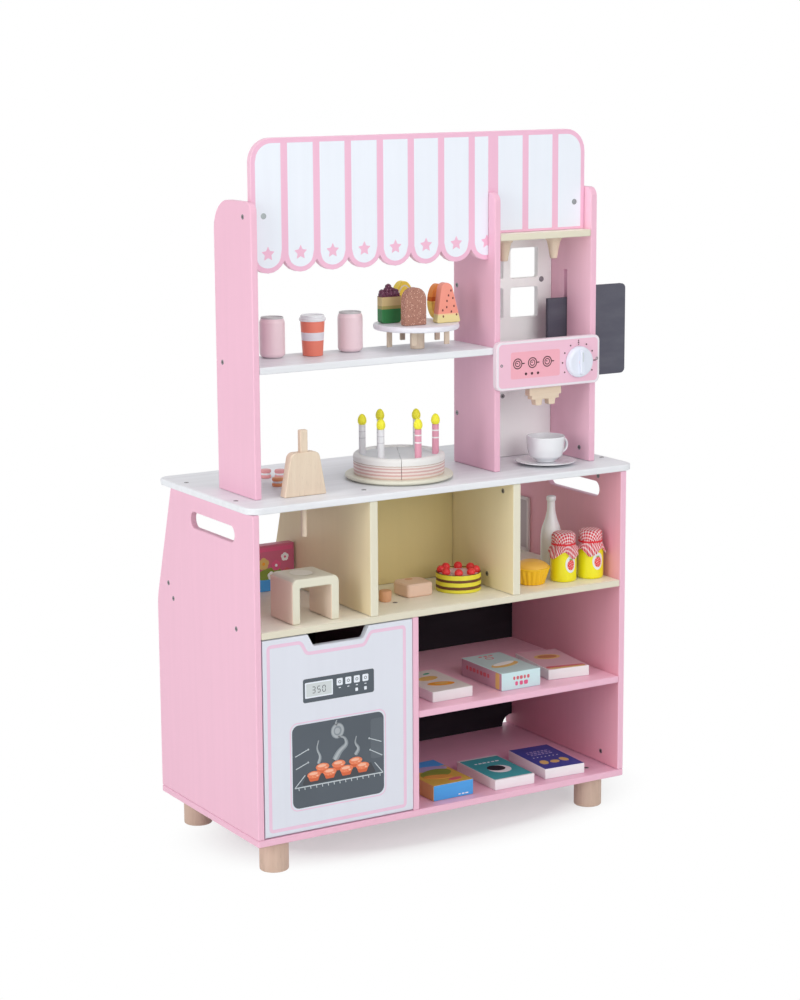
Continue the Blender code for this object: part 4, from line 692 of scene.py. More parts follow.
def lathe(profile: Sequence[Point], segments: int = 64, soft: float = 0.0, steps: int = 4) -> BMesh:
    """Spin a profile about the z axis.

    Args:
        profile: points of (radius, height), from the foot to the top.
        segments: how many steps the turn has.
        soft: how far the profile's corners are rounded first.
        steps: how many steps a rounded corner has.

    Returns:
        The closed shape.
    """
    bm = bmesh.new()
    points = curved(profile, soft, steps) if soft else profile
    verts = [bm.verts.new((radius, 0.0, height)) for radius, height in points]
    edges = [bm.edges.new(pair) for pair in zip(verts, verts[1:])]
    spun(bm, verts + edges, 360.0, segments, use_merge=True)
    bmesh.ops.remove_doubles(bm, verts=bm.verts, dist=1e-6)
    bmesh.ops.recalc_face_normals(bm, faces=bm.faces)
    return bm


def spun(bm: BMesh, geom: list, degrees: float, steps: int, axis: Spot = (0.0, 0.0, 1.0), **more: bool) -> None:
    """Sweep parts of a shape round an axis through the origin."""
    bmesh.ops.spin(bm, geom=geom, cent=(0.0, 0.0, 0.0), axis=axis, angle=math.radians(degrees), steps=steps, **more)


def flat_grid(width: float, height: float, columns: int = 1, rows: int = 1) -> BMesh:
    """Return a level rectangle about the origin."""
    bm = bmesh.new()
    bmesh.ops.create_grid(bm, x_segments=columns, y_segments=rows, size=0.5)
    bmesh.ops.scale(bm, vec=(width, height, 1.0), verts=bm.verts)
    return bm


def oblong(width: float, height: float, radius: float = 0.0, segments: int = 8) -> BMesh:
    """Return an upright flat rectangle about the origin, facing the front, with round corners."""
    bm = flat_grid(width, height)
    if radius:
        bevelled(bm, bm.verts[:], radius, segments)
    return turned(bm, 90.0, "X")


def oval(half_width: float, half_height: float, segments: int = 32) -> BMesh:
    """Return an upright flat ellipse about the origin, facing the front."""
    bm = bmesh.new()
    bmesh.ops.create_circle(bm, cap_ends=True, segments=segments, radius=1.0)
    bmesh.ops.scale(bm, vec=(half_width, half_height, 1.0), verts=bm.verts)
    return turned(bm, 90.0, "X")


def star(outer: float, inner: float) -> BMesh:
    """Return an upright flat star with five blunt points."""
    bm = bmesh.new()
    bmesh.ops.create_circle(bm, cap_ends=True, segments=10, radius=outer)
    bm.verts.ensure_lookup_table()
    tops = sorted(bm.verts, key=lambda vert: math.atan2(vert.co.y, vert.co.x))
    for vert in tops[1::2]:
        vert.co *= inner / outer
    turned(bm, 90.0 - math.degrees(math.atan2(tops[0].co.y, tops[0].co.x)), "Z")
    return turned(bevelled(bm, bm.verts[:], outer * 0.07, 2, clamp_overlap=False), 90.0, "X")


def rim(shape: BMesh, width: float) -> BMesh:
    """Keep only the rim of a flat shape."""
    inside = shape.faces[:]
    bmesh.ops.inset_region(shape, faces=inside, thickness=width, use_even_offset=True, use_boundary=True)
    bmesh.ops.delete(shape, geom=inside, context="FACES_ONLY")
    return shape


def stroke(points: Sequence[Point], width: float, closed: bool = False, taper: float = 1.0) -> BMesh:
    """Return an upright flat band that follows points given as (x, z).

    Args:
        points: the band's middle line.
        width: the band's width.
        closed: whether the last point joins the first.
        taper: the share of the width left at the last point.

    Returns:
        The flat band, facing the front.
    """
    bm = bmesh.new()
    count = len(points)
    path = [bm.verts.new((x, 0.0, z)) for x, z in points]
    pairs = list(zip(path, path[1:])) + ([(path[-1], path[0])] if closed else [])
    edges = [bm.edges.new(pair) for pair in pairs]
    aside = []
    for i, point in enumerate(points):
        here = Vector(point)
        ways = [here - Vector(points[i - 1])] if i or closed else []
        ways += [Vector(points[(i + 1) % count]) - here] if i < count - 1 or closed else []
        normals = [Vector((-way.y, way.x)).normalized() for way in ways]
        total = sum(normals, Vector((0.0, 0.0))).normalized()
        share = 1.0 + (taper - 1.0) * i / max(1, count - 1)
        reach = width / 2 * share / max(0.35, total.dot(normals[0]))
        aside.append(Vector((total.x * reach, 0.0, total.y * reach)))
    grown = bmesh.ops.extrude_edge_only(bm, edges=edges)
    fresh = [item for item in grown["geom"] if isinstance(item, BMVert)]
    for vert, shift in zip(path, aside):
        twin = min(fresh, key=lambda item, spot=vert.co.copy(): (item.co - spot).length)
        fresh.remove(twin)
        vert.co -= shift
        twin.co += shift
    for face in bm.faces:
        face.normal_update()
        if face.normal.y > 0.0:
            face.normal_flip()
    return bm


def thickened(shape: BMesh, deep: float) -> BMesh:
    """Give a flat upright shape a thickness towards the back, or towards the front where it is negative."""
    grown = bmesh.ops.extrude_face_region(shape, geom=shape.faces[:], use_keep_orig=True)
    fresh = [item for item in grown["geom"] if isinstance(item, BMVert)]
    bmesh.ops.translate(shape, vec=(0.0, deep, 0.0), verts=fresh)
    bmesh.ops.recalc_face_normals(shape, faces=shape.faces)
    return shape


def raised(shape: BMesh, level: int) -> BMesh:
    """Make a flat upright shape stand proud by so many layers of print."""
    return thickened(shape, -level * PRINT_STEP)


def placed(shape: BMesh, x: float, z: float) -> BMesh:
    """Shift a flat upright shape to a place given in the stand's own x and z."""
    spot = at(x, 0.0, z)
    return moved(shape, spot.x, 0.0, spot.z)


def lying(shape: BMesh) -> BMesh:
    """Lay an upright shape down, so that its front faces up."""
    return turned(shape, -90.0, "X")


def tapered(width: float, height: float, top: float, low_round: float, high_round: float, lean: float = 0.0) -> BMesh:
    """Return an upright flat shape that stands on the origin and may narrow towards its top.

    Args:
        width: its width at the foot.
        height: its height.
        top: the share of the width left at the top.
        low_round: how far the lower corners are rounded.
        high_round: how far the upper corners are rounded.
        lean: how far the top is shifted sideways.

    Returns:
        The flat shape, facing the front.
    """
    bm = moved(flat_grid(width, height), y=height / 2)
    high = [vert for vert in bm.verts if vert.co.y > height / 2]
    low = [vert for vert in bm.verts if vert not in high]
    for vert in high:
        vert.co.x = vert.co.x * top + lean
    for verts, offset, segments in ((high, high_round, 14), (low, low_round, 6)):
        if offset:
            bevelled(bm, verts, offset, segments)
    bmesh.ops.remove_doubles(bm, verts=bm.verts, dist=1e-5)
    return turned(bm, 90.0, "X")


def wedge_of(outline: Sequence[Point], angle: float, segments: int) -> BMesh:
    """Spin a closed outline of (radius, height) points part of the way round, with both ends closed."""
    bm = bmesh.new()
    face = bm.faces.new([bm.verts.new((radius, 0.0, height)) for radius, height in outline])
    spun(bm, [face, *face.edges, *face.verts], angle, max(2, round(segments * angle / 360.0)))
    bmesh.ops.holes_fill(bm, edges=bm.edges[:], sides=0)
    bmesh.ops.recalc_face_normals(bm, faces=bm.faces)
    return bm


def ball(radius: float, subdivisions: int) -> BMesh:
    """Return a ball about the origin."""
    bm = bmesh.new()
    bmesh.ops.create_icosphere(bm, subdivisions=subdivisions, radius=radius)
    return bm


def roughen(bm: BMesh, depth: float, seed: float) -> BMesh:
    """Push a shape's surface in and out by a smooth noise."""
    for vert in bm.verts:
        way = vert.co.normalized()
        vert.co += way * depth * noise.noise(way * 3.1 + Vector((seed, seed, seed)))
    return bm


PITS_ROUND = 9.0
PIT_ROWS = 3.2
PIT_DEPTH = 0.035


def dimple(bm: BMesh, radius: float) -> BMesh:
    """Press rows of small pits into a ball, as on a berry."""
    for vert in bm.verts:
        round_z = math.atan2(vert.co.y, vert.co.x)
        down = math.acos(max(-1.0, min(1.0, vert.co.z / radius)))
        rows = down * PIT_ROWS
        across = math.cos(PITS_ROUND * round_z + math.floor(rows) * math.pi)
        pit = across * math.sin(rows * math.pi) ** 2 * math.sin(down)
        vert.co *= 1.0 - PIT_DEPTH * max(0.0, pit)
    return bm


def wave_round(vert: BMVert, count: int) -> float:
    """Return a wave from 0 to 1 that repeats so many times round the z axis."""
    return 0.5 + 0.5 * math.cos(count * math.atan2(vert.co.y, vert.co.x))


def cut_away(obj: Object, shape: BMesh) -> None:
    """Cut a shape out of a piece, and keep its shading."""
    mesh = bpy.data.meshes.new("cutting_shape")
    shape.to_mesh(mesh)
    shape.free()
    tool = bpy.data.objects.new("cutting_shape", mesh)
    bpy.context.scene.collection.objects.link(tool)
    cut = obj.modifiers.new("cut", "BOOLEAN")
    cut.operation = "DIFFERENCE"
    cut.solver = "EXACT"
    cut.object = tool
    graph = bpy.context.evaluated_depsgraph_get()
    result = bpy.data.meshes.new_from_object(obj.evaluated_get(graph))
    obj.modifiers.clear()
    obj.data = result
    bpy.data.objects.remove(tool)
    bpy.data.meshes.remove(mesh)
    obj.data.set_sharp_from_angle(angle=math.radians(SHARP_ANGLE))


# Pieces


SHARP_ANGLE = 40.0


def add_piece(
    name: str,
    bm: BMesh,
    finish: Finish,
    body: str,
    slot: str,
    replaces: Sequence[str] = (),
    smooth: float | None = SHARP_ANGLE,
) -> Object:
    """Make an object of a shape, finish it and let it ride on a body.

    Args:
        name: the piece's name.
        bm: the shape, already in its place.
        finish: what it is painted with.
        body: the body that it moves with.
        slot: the record's material slot; not used.
        replaces: the nodes that it stands for.
        smooth: the angle in degrees past which edges stay sharp, or None for flat faces.

    Returns:
        The new object.
    """
    mesh = bpy.data.meshes.new(name)
    bm.to_mesh(mesh)
    bm.free()
    obj = bpy.data.objects.new(name, mesh)
    bpy.context.scene.collection.objects.link(obj)
    mesh.materials.append(finish.material())
    if smooth is not None:
        mesh.shade_smooth()
        mesh.set_sharp_from_angle(angle=math.radians(smooth))
    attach(obj, body)
    if replaces:
        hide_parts(*replaces)
    if smooth is not None:
        obj.modifiers.new("flat_faces", "WEIGHTED_NORMAL").keep_sharp = True
    LOG.info("piece %s on %s: %d faces", name, body, len(mesh.polygons))
    return obj


add_print = partial(add_piece, smooth=None)


def add_turned(name: str, node: str, shape: BMesh, finish: Finish, slot: str, replaced: bool = True) -> None:
    """Add a turned shape on the middle of a node's foot, standing for the node where it is replaced."""
    add_piece(name, moved(shape, *foot_of(node)), finish, node, slot, [node] if replaced else ())


def paint_node(node: str, finish: Finish) -> None:
    """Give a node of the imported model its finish."""
    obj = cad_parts[node]
    obj.data.materials.clear()
    obj.data.materials.append(finish.material())
    LOG.info("node %s painted %s", node, finish.name)


# Camera, light and floor


@dataclass
class Studio:
    """The camera of the photograph's view, soft lamps and a pale floor."""

    eye: Spot = (-1.73224, -2.81768, 1.10215)
    yaw: float = 31.24
    pitch: float = 11.03
    roll: float = -0.34
    sensor: float = 36.0
    focal_share: float = 2.37486
    sky: float = 0.37
    floor_size: float = 7.0
    floor_drop: float = 0.0002
    glow_stretch: Point = (0.6, 1.1)
    glow_reach: Point = (0.08, 0.24)
    glow_least: float = 0.42
    lamp_colour: Colour = (1.0, 0.985, 0.965)
    lamps: tuple[tuple[str, Spot, Spot, float, float], ...] = (
        ("key_lamp", (-3.3, -0.6, 1.5), (0.0, 0.0, 0.50), 2.2, 55.5),
        ("front_lamp", (0.2, -3.3, 1.7), (0.0, 0.0, 0.50), 2.4, 45.5),
        ("top_lamp", (0.0, -0.4, 2.9), (0.0, 0.0, 0.0), 2.2, 17.0),
    )

    def build(self) -> None:
        """Make everything that isn't part of the stand."""
        bpy.context.scene.view_settings.view_transform = "Standard"
        self.add_camera()
        self.add_world()
        self.add_lamps()
        self.add_floor()

    def add_camera(self) -> None:
        """Put the camera where the photograph was taken from."""
        yaw, pitch, roll = (math.radians(turn) for turn in (self.yaw, self.pitch, self.roll))
        ahead = Vector((math.sin(yaw) * math.cos(pitch), math.cos(yaw) * math.cos(pitch), -math.sin(pitch)))
        right = Vector((math.cos(yaw), -math.sin(yaw), 0.0))
        up = right.cross(ahead)
        tilted = right * math.cos(roll) + up * math.sin(roll)
        upright_way = up * math.cos(roll) - right * math.sin(roll)
        data = bpy.data.cameras.new("photo_camera")
        data.sensor_width = self.sensor
        data.lens = self.sensor * self.focal_share
        data.clip_end = 20.0
        camera = bpy.data.objects.new("photo_camera", data)
        bpy.context.scene.collection.objects.link(camera)
        matrix = Matrix((tilted, upright_way, -ahead)).transposed().to_4x4()
        matrix.translation = self.eye
        camera.matrix_world = matrix
        bpy.context.scene.camera = camera

    def add_world(self) -> None:
        """Light the scene evenly from all round, with a white backdrop for the camera."""
        world = bpy.data.worlds.new("studio_world")
        bpy.context.scene.world = world
        world.use_nodes = True
        sketch = Sketch(world.node_tree)
        for node in list(world.node_tree.nodes):
            world.node_tree.nodes.remove(node)
        seen = seen_directly(sketch)
        soft = sketch.node("Background", {"Color": (0.96, 0.97, 1.0, 1.0), "Strength": self.sky})
        backdrop = sketch.node("Background", {"Color": (1.0, 1.0, 1.0, 1.0), "Strength": 1.0})
        chosen = sketch.node("MixShader", {0: seen, 1: soft.outputs[0], 2: backdrop.outputs[0]})
        sketch.node("OutputWorld", {0: chosen.outputs[0]})

    def add_lamps(self) -> None:
        """Add a large key lamp from the front left, and softer ones in front and above."""
        for name, spot, target, size, watts in self.lamps:
            data = bpy.data.lights.new(name, "AREA")
            data.shape = "DISK"
            data.size = size
            data.energy = watts
            data.color = self.lamp_colour
            lamp = bpy.data.objects.new(name, data)
            lamp.location = spot
            lamp.rotation_mode = "QUATERNION"
            lamp.rotation_quaternion = (Vector(target) - Vector(spot)).to_track_quat("-Z", "Y")
            bpy.context.scene.collection.objects.link(lamp)

    def add_floor(self) -> None:
        """Make the white floor, which fades to pure white away from the stand."""
        mesh = bpy.data.meshes.new("studio_floor")
        bm = flat_grid(2 * self.floor_size, 2 * self.floor_size, 2, 2)
        bm.to_mesh(mesh)
        bm.free()
        floor = bpy.data.objects.new("studio_floor", mesh)
        floor.location = (0.0, 0.0, -self.floor_drop)
        bpy.context.scene.collection.objects.link(floor)
        material, sketch, shader = start_material("studio_floor_white")
        sketch.feed(shader, {"Base Color": (0.89, 0.95, 0.93, 1.0), "Roughness": 0.7})
        x, y, _ = sketch.split(sketch.place())
        wide, deep = self.glow_stretch
        flat = sketch.node("CombineXYZ", {0: sketch.sum("MULTIPLY", x, wide), 1: sketch.sum("MULTIPLY", y, deep)})
        away = sketch.node("VectorMath", {0: flat.outputs[0]}, operation="LENGTH").outputs[1]
        plain = sketch.sum("MAXIMUM", self.glow_least, sketch.ease(away, *self.glow_reach))
        share = sketch.sum("MULTIPLY", plain, seen_directly(sketch))
        white = sketch.node("Emission", {"Color": (1.0, 1.0, 1.0, 1.0), "Strength": 1.0})
        mixed = sketch.node("MixShader", {0: share, 1: shader.outputs[0], 2: white.outputs[0]})
        sketch.feed(sketch.tree.nodes["Material Output"], {"Surface": mixed.outputs[0]})
        mesh.materials.append(material)


def seen_directly(sketch: Sketch) -> NodeSocket:
    """Return 1 for rays that come from the camera, a mirror or glass, and 0 for light on surfaces."""
    path = sketch.node("LightPath")
    first = sketch.sum("MAXIMUM", path.outputs["Is Camera Ray"], path.outputs["Is Glossy Ray"])
    return sketch.sum("MAXIMUM", first, path.outputs["Is Transmission Ray"])


# Boards


@dataclass
class PaintedBoards:
    """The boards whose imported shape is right, and what each is painted with."""

    finishes: dict[Finish, tuple[str, ...]] = field(
        default_factory=lambda: {
            PINK_UPRIGHT: ("left_side_panel", "lower_divider", "left_upright", "partition_upright"),
            PINK_INSIDE_SHADED: ("right_side_panel",),
            PINK_BAY_LIT: ("right_upright",),
            PINK_LEVEL: ("bottom_panel",),
            PINK_SHELF_LIT: ("lower_shelf",),
            WHITE_LEVEL: ("counter_top", "upper_shelf"),
            WHITE_UPRIGHT: ("oven_door",),
            WINDOW_WHITE_LIT: ("window_panel",),
            CREAM_UPRIGHT_SHADED_FACES: ("cubby_divider_left", "cubby_divider_right"),
            CREAM_BACK_SHADED: ("cubby_back_panel",),
            CREAM_SHELF: ("cubby_shelf", "nozzle_shelf"),
            AWNING: ("awning_board",),
            CHALK: ("chalk_sign",),
            BACK_BOARD: ("lower_back_panel",),
            WOOD: ("press_block", "press_plunger"),
            WOOD_LEVEL: ("spout_block",),
            PIN: ("oven_pin_left", "oven_pin_right"),
            CREAM_TOY: ("arch_stand",),
            PEACH_TOY: ("sandwich_slice",),
            PANEL_EDGE: ("control_panel",),
        }
    )

    def build(self) -> None:
        """Paint the boards."""
        for finish, nodes in self.finishes.items():
            for node in nodes:
                paint_node(node, finish)


@dataclass
class Feet:
    """The four round wooden feet."""

    radius: float = 0.020
    height: float = 0.0442
    edge: float = 0.002

    def build(self) -> None:
        """Turn each foot at its node's place."""
        profile = drum(self.radius, 0.0, self.height)
        for side in ("front_left", "front_right", "rear_left", "rear_right"):
            node = f"foot_{side}"
            shape = moved(lathe(profile, 48, self.edge, 3), *foot_of(node))
            add_piece(f"{node}_turned", shape, FOOT_WOOD, "stand", "bare_wood", [node])


@dataclass
class Fasteners:
    """The bolts and barrel nuts that hold the boards together."""

    bolt_radius: float = 0.0034
    bolt_proud: float = 0.0006
    socket_radius: float = 0.0015
    screw_radius: float = 0.0022
    nut_radius: float = 0.0040
    left_faces: tuple[Spot, ...] = (
        (0.0, 0.2559, 0.3572), (0.0, 0.2414, 0.3378), (0.0, 0.0524, 0.3341), (0.0298, 0.0700, 0.8750),
        (0.0298, 0.1354, 0.6784), (0.4069, 0.1450, 0.7586), (0.4069, 0.1450, 0.5767), (0.4067, 0.0668, 0.3566),
        (0.4067, 0.0267, 0.4820), (0.1765, 0.1383, 0.3420), (0.5688, 0.0727, 0.5217), (0.5905, 0.0555, 0.4805),
        (0.5905, 0.0422, 0.0717),
    )
    top_faces: tuple[Spot, ...] = (
        (0.0107, 0.2141, 0.5047), (0.0074, 0.0608, 0.5047), (0.1878, 0.0356, 0.5047), (0.6041, 0.0661, 0.5047),
        (0.2470, 0.0544, 0.3375), (0.5575, 0.0319, 0.0543),
    )
    window_bolt: Spot = (0.4842, 0.1443, 0.5940)
    nuts: tuple[Spot, ...] = ((0.0576, 0.0650, 0.8750), (0.5510, 0.0650, 0.8740), (0.5506, 0.1443, 0.7590))
    panel_screws: tuple[Spot, ...] = ((0.4115, 0.0382, 0.6552), (0.5734, 0.0382, 0.6542))

    def build(self) -> None:
        """Make every bolt and nut of the stand."""
        faces = [(spot, "left") for spot in self.left_faces]
        faces += [(spot, "up") for spot in self.top_faces] + [(self.window_bolt, "front")]
        heads = [self.set_in(self.head(self.bolt_radius), spot, way) for spot, way in faces]
        sockets = [self.set_in(self.socket(self.socket_radius), spot, way) for spot, way in faces]
        small = [self.set_in(self.head(self.screw_radius), spot, "front") for spot in self.panel_screws]
        nuts = [self.set_in(self.nut(), spot, "front") for spot in self.nuts]
        add_piece("bolt_heads", joined(heads + small), BOLT, "stand", "pin_steel")
        add_print("bolt_socket_shade", joined(sockets), SOCKET_SHADE, "stand", "pin_steel")
        add_piece("barrel_nuts", joined(nuts), NUT, "stand", "pin_steel")

    def head(self, radius: float) -> BMesh:
        """Return a bolt head with a hollow for the key, facing up."""
        proud, foot = self.bolt_proud, -0.0004
        hollow = self.socket_radius * radius / self.bolt_radius
        profile = [(radius, foot), (radius, proud * 0.6), (radius * 0.85, proud), (hollow, proud), (hollow, foot)]
        return lathe(profile, 24, 0.0002, 2)

    def socket(self, radius: float) -> BMesh:
        """Return the dark floor of a bolt's key hollow, which is painted shade."""
        bm = bmesh.new()
        bmesh.ops.create_cone(bm, cap_ends=True, segments=6, radius1=radius, radius2=radius, depth=0.0004)
        return moved(bm, z=0.0001)

    def nut(self) -> BMesh:
        """Return a barrel nut's round end with its screwdriver slot, facing up."""
        ring = lathe(drum(self.nut_radius, -0.0002, 0.0004), 28, 0.0002, 2)
        return joined([ring, moved(block(self.nut_radius * 1.5, 0.0009, 0.0003), z=0.0003)])

    def set_in(self, bm: BMesh, spot: Spot, way: str) -> BMesh:
        """Turn a part that faces up towards a side and set it at a place of the stand."""
        if way != "up":
            turned(bm, *((-90.0, "Y") if way == "left" else (90.0, "X")))
        return moved(bm, *at(*spot))


# Awning


@dataclass
class AwningPrint:
    """The white panels and the stars printed on the awning."""

    left: float = 0.0396
    separators: tuple[float, ...] = (
        0.0889, 0.1371, 0.1849, 0.2342, 0.2824, 0.3304, 0.3797, 0.4180, 0.4683, 0.5183,
    )
    separator_width: float = 0.0100
    border: float = 0.0067
    pitch: float = 0.0485
    junction: float = 0.8157
    sag: float = 0.0155
    low_edge: float = 0.8359
    notch: float = 0.0045
    corner: float = 0.031
    star_radius: float = 0.0100
    star_height: float = 0.8255
    cut_panel: int = 7
    cut_edge: float = 0.4066
    cut_star: float = 0.4045

    def build(self) -> None:
        """Print both faces of the awning."""
        low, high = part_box("awning_board")
        for side, face in (("front", low.y), ("back", high.y)):
            panels = raised(joined(self.panels(low, high)), 1)
            stars = raised(joined(self.stars()), 2)
            for shape in (panels, stars):
                if side == "back":
                    bmesh.ops.scale(shape, vec=(1.0, -1.0, 1.0), verts=shape.verts)
                    bmesh.ops.recalc_face_normals(shape, faces=shape.faces)
                moved(shape, y=face)
            add_print(f"awning_panels_{side}", panels, PRINT_WHITE, "stand", "white_paint")
            add_print(f"awning_stars_{side}", stars, PRINT_PINK, "stand", "pink_paint")

    def panels(self, low: Vector, high: Vector) -> list[BMesh]:
        """Return the white panels between the pink lines, as flat shapes."""
        half = self.separator_width / 2
        ends = [own(low).x + self.border - half, *self.separators, own(high).x - self.border + half]
        shapes = []
        for number, (start, end) in enumerate(zip(ends, ends[1:])):
            right = self.cut_edge if number == self.cut_panel else end - half
            shapes.append(self.panel(start + half, right, own(high).z - self.border, number, len(ends) - 2))
        return shapes

    def panel(self, left: float, right: float, top: float, number: int, last: int) -> BMesh:
        """Return one white panel, with a lobe below it or a straight foot.

        Args:
            left: its left edge in the stand's coordinates.
            right: its right edge.
            top: its upper edge.
            number: which panel it is, from the left.
            last: the number of the rightmost panel.

        Returns:
            The flat panel, in its place in x and z.
        """
        bm = flat_grid(1.0, 1.0, 20, 24)
        reach = self.pitch / 2
        radius = (reach * reach + self.sag * self.sag) / (2 * self.sag)
        middle = self.left + self.pitch * (number + 0.5)
        centre_z = self.junction - self.sag + radius
        inner = radius - self.border
        outer = self.corner - self.border
        for vert in bm.verts:
            x = left + (right - left) * (vert.co.x + 0.5)
            if number <= self.cut_panel:
                foot = centre_z - math.sqrt(max(0.0, inner * inner - (x - middle) ** 2))
                edge = min(x - left, right - x) if number < self.cut_panel else x - left
                foot += self.notch * max(0.0, 1.0 - edge / self.notch) ** 2
            else:
                foot = self.low_edge + self.border * 0.55
            away = max(0.0, {0: left + outer - x, last: x - (right - outer)}.get(number, 0.0))
            head = top - outer + math.sqrt(max(0.0, outer * outer - away * away))
            spot = at(x, 0.0, foot + (head - foot) * (vert.co.y + 0.5))
            vert.co = Vector((spot.x, spot.z, 0.0))
        return turned(bm, 90.0, "X")

    def stars(self) -> list[BMesh]:
        """Return a star for each lobe, and the part of one beside the partition."""
        shapes = []
        for number in range(self.cut_panel + 1):
            x = self.left + self.pitch * (number + 0.5) - 0.0004
            x = self.cut_star if number == self.cut_panel else x
            shapes.append(placed(star(self.star_radius, self.star_radius * 0.50), x, self.star_height))
        last = shapes[-1]
        geom = last.verts[:] + last.edges[:] + last.faces[:]
        cut = (at(self.cut_edge, 0.0, 0.0).x, 0.0, 0.0)
        bmesh.ops.bisect_plane(last, geom=geom, plane_co=cut, plane_no=(1.0, 0.0, 0.0), clear_outer=True)
        return shapes


# Oven front


def field_of(edges: Edges, radius: float) -> BMesh:
    """Return a flat rectangle between its left, right, low and high edges on the stand."""
    left, right, low, high = edges
    return placed(oblong(right - left, high - low, radius), (left + right) / 2, (low + high) / 2)


def spread(edges: Edges, by: float) -> Edges:
    """Return a rectangle's left, right, low and high edges moved outwards."""
    return edges[0] - by, edges[1] + by, edges[2] - by, edges[3] + by


def line_of(points: Sequence[Point], width: float, taper: float = 1.0) -> BMesh:
    """Return a flat line through points of the stand."""
    return placed(stroke(points, width, taper=taper), 0.0, 0.0)


@dataclass
class OvenPrint:
    """Everything that is printed on the oven front."""

    line_width: float = 0.0046
    line_path: tuple[Point, ...] = (
        (0.0190, 0.3175), (0.0680, 0.3175), (0.0770, 0.3010), (0.1655, 0.3010), (0.1755, 0.3175), (0.2285, 0.3175),
        (0.2285, 0.0640), (0.0190, 0.0640),
    )
    display: Edges = (0.0705, 0.1800, 0.2335, 0.2663)
    screen: Edges = (0.0735, 0.1160, 0.2395, 0.2610)
    window: Edges = (0.0530, 0.1947, 0.0890, 0.2045)
    side_wall: Edges = (0.1740, 0.1938, 0.1400, 0.1960)
    buttons: tuple[float, ...] = (0.1266, 0.1400, 0.1532, 0.1666)
    button_height: float = 0.2555
    button_size: Spot = (0.0092, 0.0098, 0.0014)
    lamps: tuple[float, ...] = (0.1528, 0.1665)
    lamp_height: float = 0.2410
    lamp_size: Spot = (0.0040, 0.0046, 0.0008)
    figures: tuple[tuple[float, str], ...] = ((0.0866, "abcdg"), (0.0945, "acdfg"), (0.1024, "abcdef"))
    figure_size: float = 0.0042
    figure_line: float = 0.0009
    rails: tuple[tuple[Point, Point], ...] = (
        ((0.0572, 0.1616), (0.0771, 0.1690)), ((0.0580, 0.1441), (0.0768, 0.1510)),
        ((0.1717, 0.1694), (0.1908, 0.1620)), ((0.1731, 0.1530), (0.1920, 0.1425)),
    )
    rail_width: float = 0.0011
    rack: tuple[Point, Point] = ((0.0560, 0.1180), (0.1930, 0.1180))
    rack_backs: tuple[Point, Point] = ((0.0720, 0.1340), (0.1800, 0.1340))
    rack_width: float = 0.0014
    tines: int = 15
    tine_start: float = 0.0620
    tine_pitch: float = 0.0090
    tine_ends: Point = (0.1178, 0.1138)
    tine_lean: float = 0.0006
    tine_width: float = 0.0010
    steam: tuple[tuple[tuple[Point, ...], float], ...] = (
        (((0.0925, 0.1470), (0.0960, 0.1560), (0.0900, 0.1680), (0.0935, 0.1790)), 0.0050),
        (((0.1180, 0.1480), (0.1250, 0.1590), (0.1370, 0.1670), (0.1340, 0.1770), (0.1240, 0.1800)), 0.0095),
        (((0.1215, 0.1960), (0.1200, 0.2000), (0.1220, 0.2030)), 0.0050),
        (((0.1500, 0.1500), (0.1560, 0.1580), (0.1490, 0.1670), (0.1520, 0.1760)), 0.0060),
    )
    lamp_spot: Point = (0.1225, 0.1880)
    tray_size: Spot = (0.1130, 0.0150, 0.0020)
    tray_spot: Point = (0.1245, 0.1275)
    tray_narrowing: float = 0.10
    cup_size: Spot = (0.0155, 0.0080, 0.0012)
    cup_flare: float = 0.22
    crown_half: Point = (0.0102, 0.0050)
    light_half: Point = (0.0066, 0.0021)
    glint_half: Point = (0.0020, 0.0010)
    buns: tuple[Point, ...] = (
        (0.0985, 0.1395), (0.1235, 0.1395), (0.1500, 0.1395), (0.0853, 0.1305), (0.1098, 0.1305), (0.1354, 0.1305),
        (0.1608, 0.1305),
    )

    def build(self) -> None:
        """Print the front in layers."""
        ring = curved([self.line_path[-1], *self.line_path, self.line_path[0]], 0.0045, 5)[1:-1]
        outline = placed(stroke(ring, self.line_width, closed=True), 0.0, 0.0)
        frame = rim(field_of(spread(self.window, 0.0035), 0.0115), 0.0014)
        self.print("pink_lines", PRINT_BLUSH, 1, [outline, frame])
        self.print("dark_fields", PRINT_GLASS, 1, [field_of(self.display, 0.0030), field_of(self.window, 0.0100)])
        self.print_display()
        self.print_window()
        self.print_buns()

    def print(self, name: str, finish: Finish, level: int, shapes: Sequence[BMesh]) -> None:
        """Add one layer of the print."""
        shape = moved(raised(joined(shapes), level), y=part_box("oven_door")[0].y)
        slot = "pink_paint" if finish is PRINT_BLUSH else "white_paint"
        add_print(f"oven_print_{name}", shape, finish, "oven_front", slot)

    def print_display(self) -> None:
        """Print the clock's screen, its figures, the buttons and the two small lamps."""
        pale, marks = [field_of(self.screen, 0.0012)], []
        for x in self.buttons:
            pale.append(placed(oblong(*self.button_size), x, self.button_height))
            pale.append(placed(oblong(0.0030, 0.0011), x, self.button_height - 0.0082))
            marks.append(placed(rim(oval(0.0021, 0.0021, 20), 0.0006), x, self.button_height))
        for x in self.lamps:
            pale.append(placed(oblong(*self.lamp_size), x, self.lamp_height))
        for x, strokes in self.figures:
            marks.extend(self.figure(x, 0.2500, strokes))
        self.print("pale_fields", PRINT_WHITE, 2, pale)
        self.print("screen_tint", PRINT_PALE, 3, [field_of(spread(self.screen, -0.0018), 0.0008)])
        self.print("marks", PRINT_DARK, 4, marks)

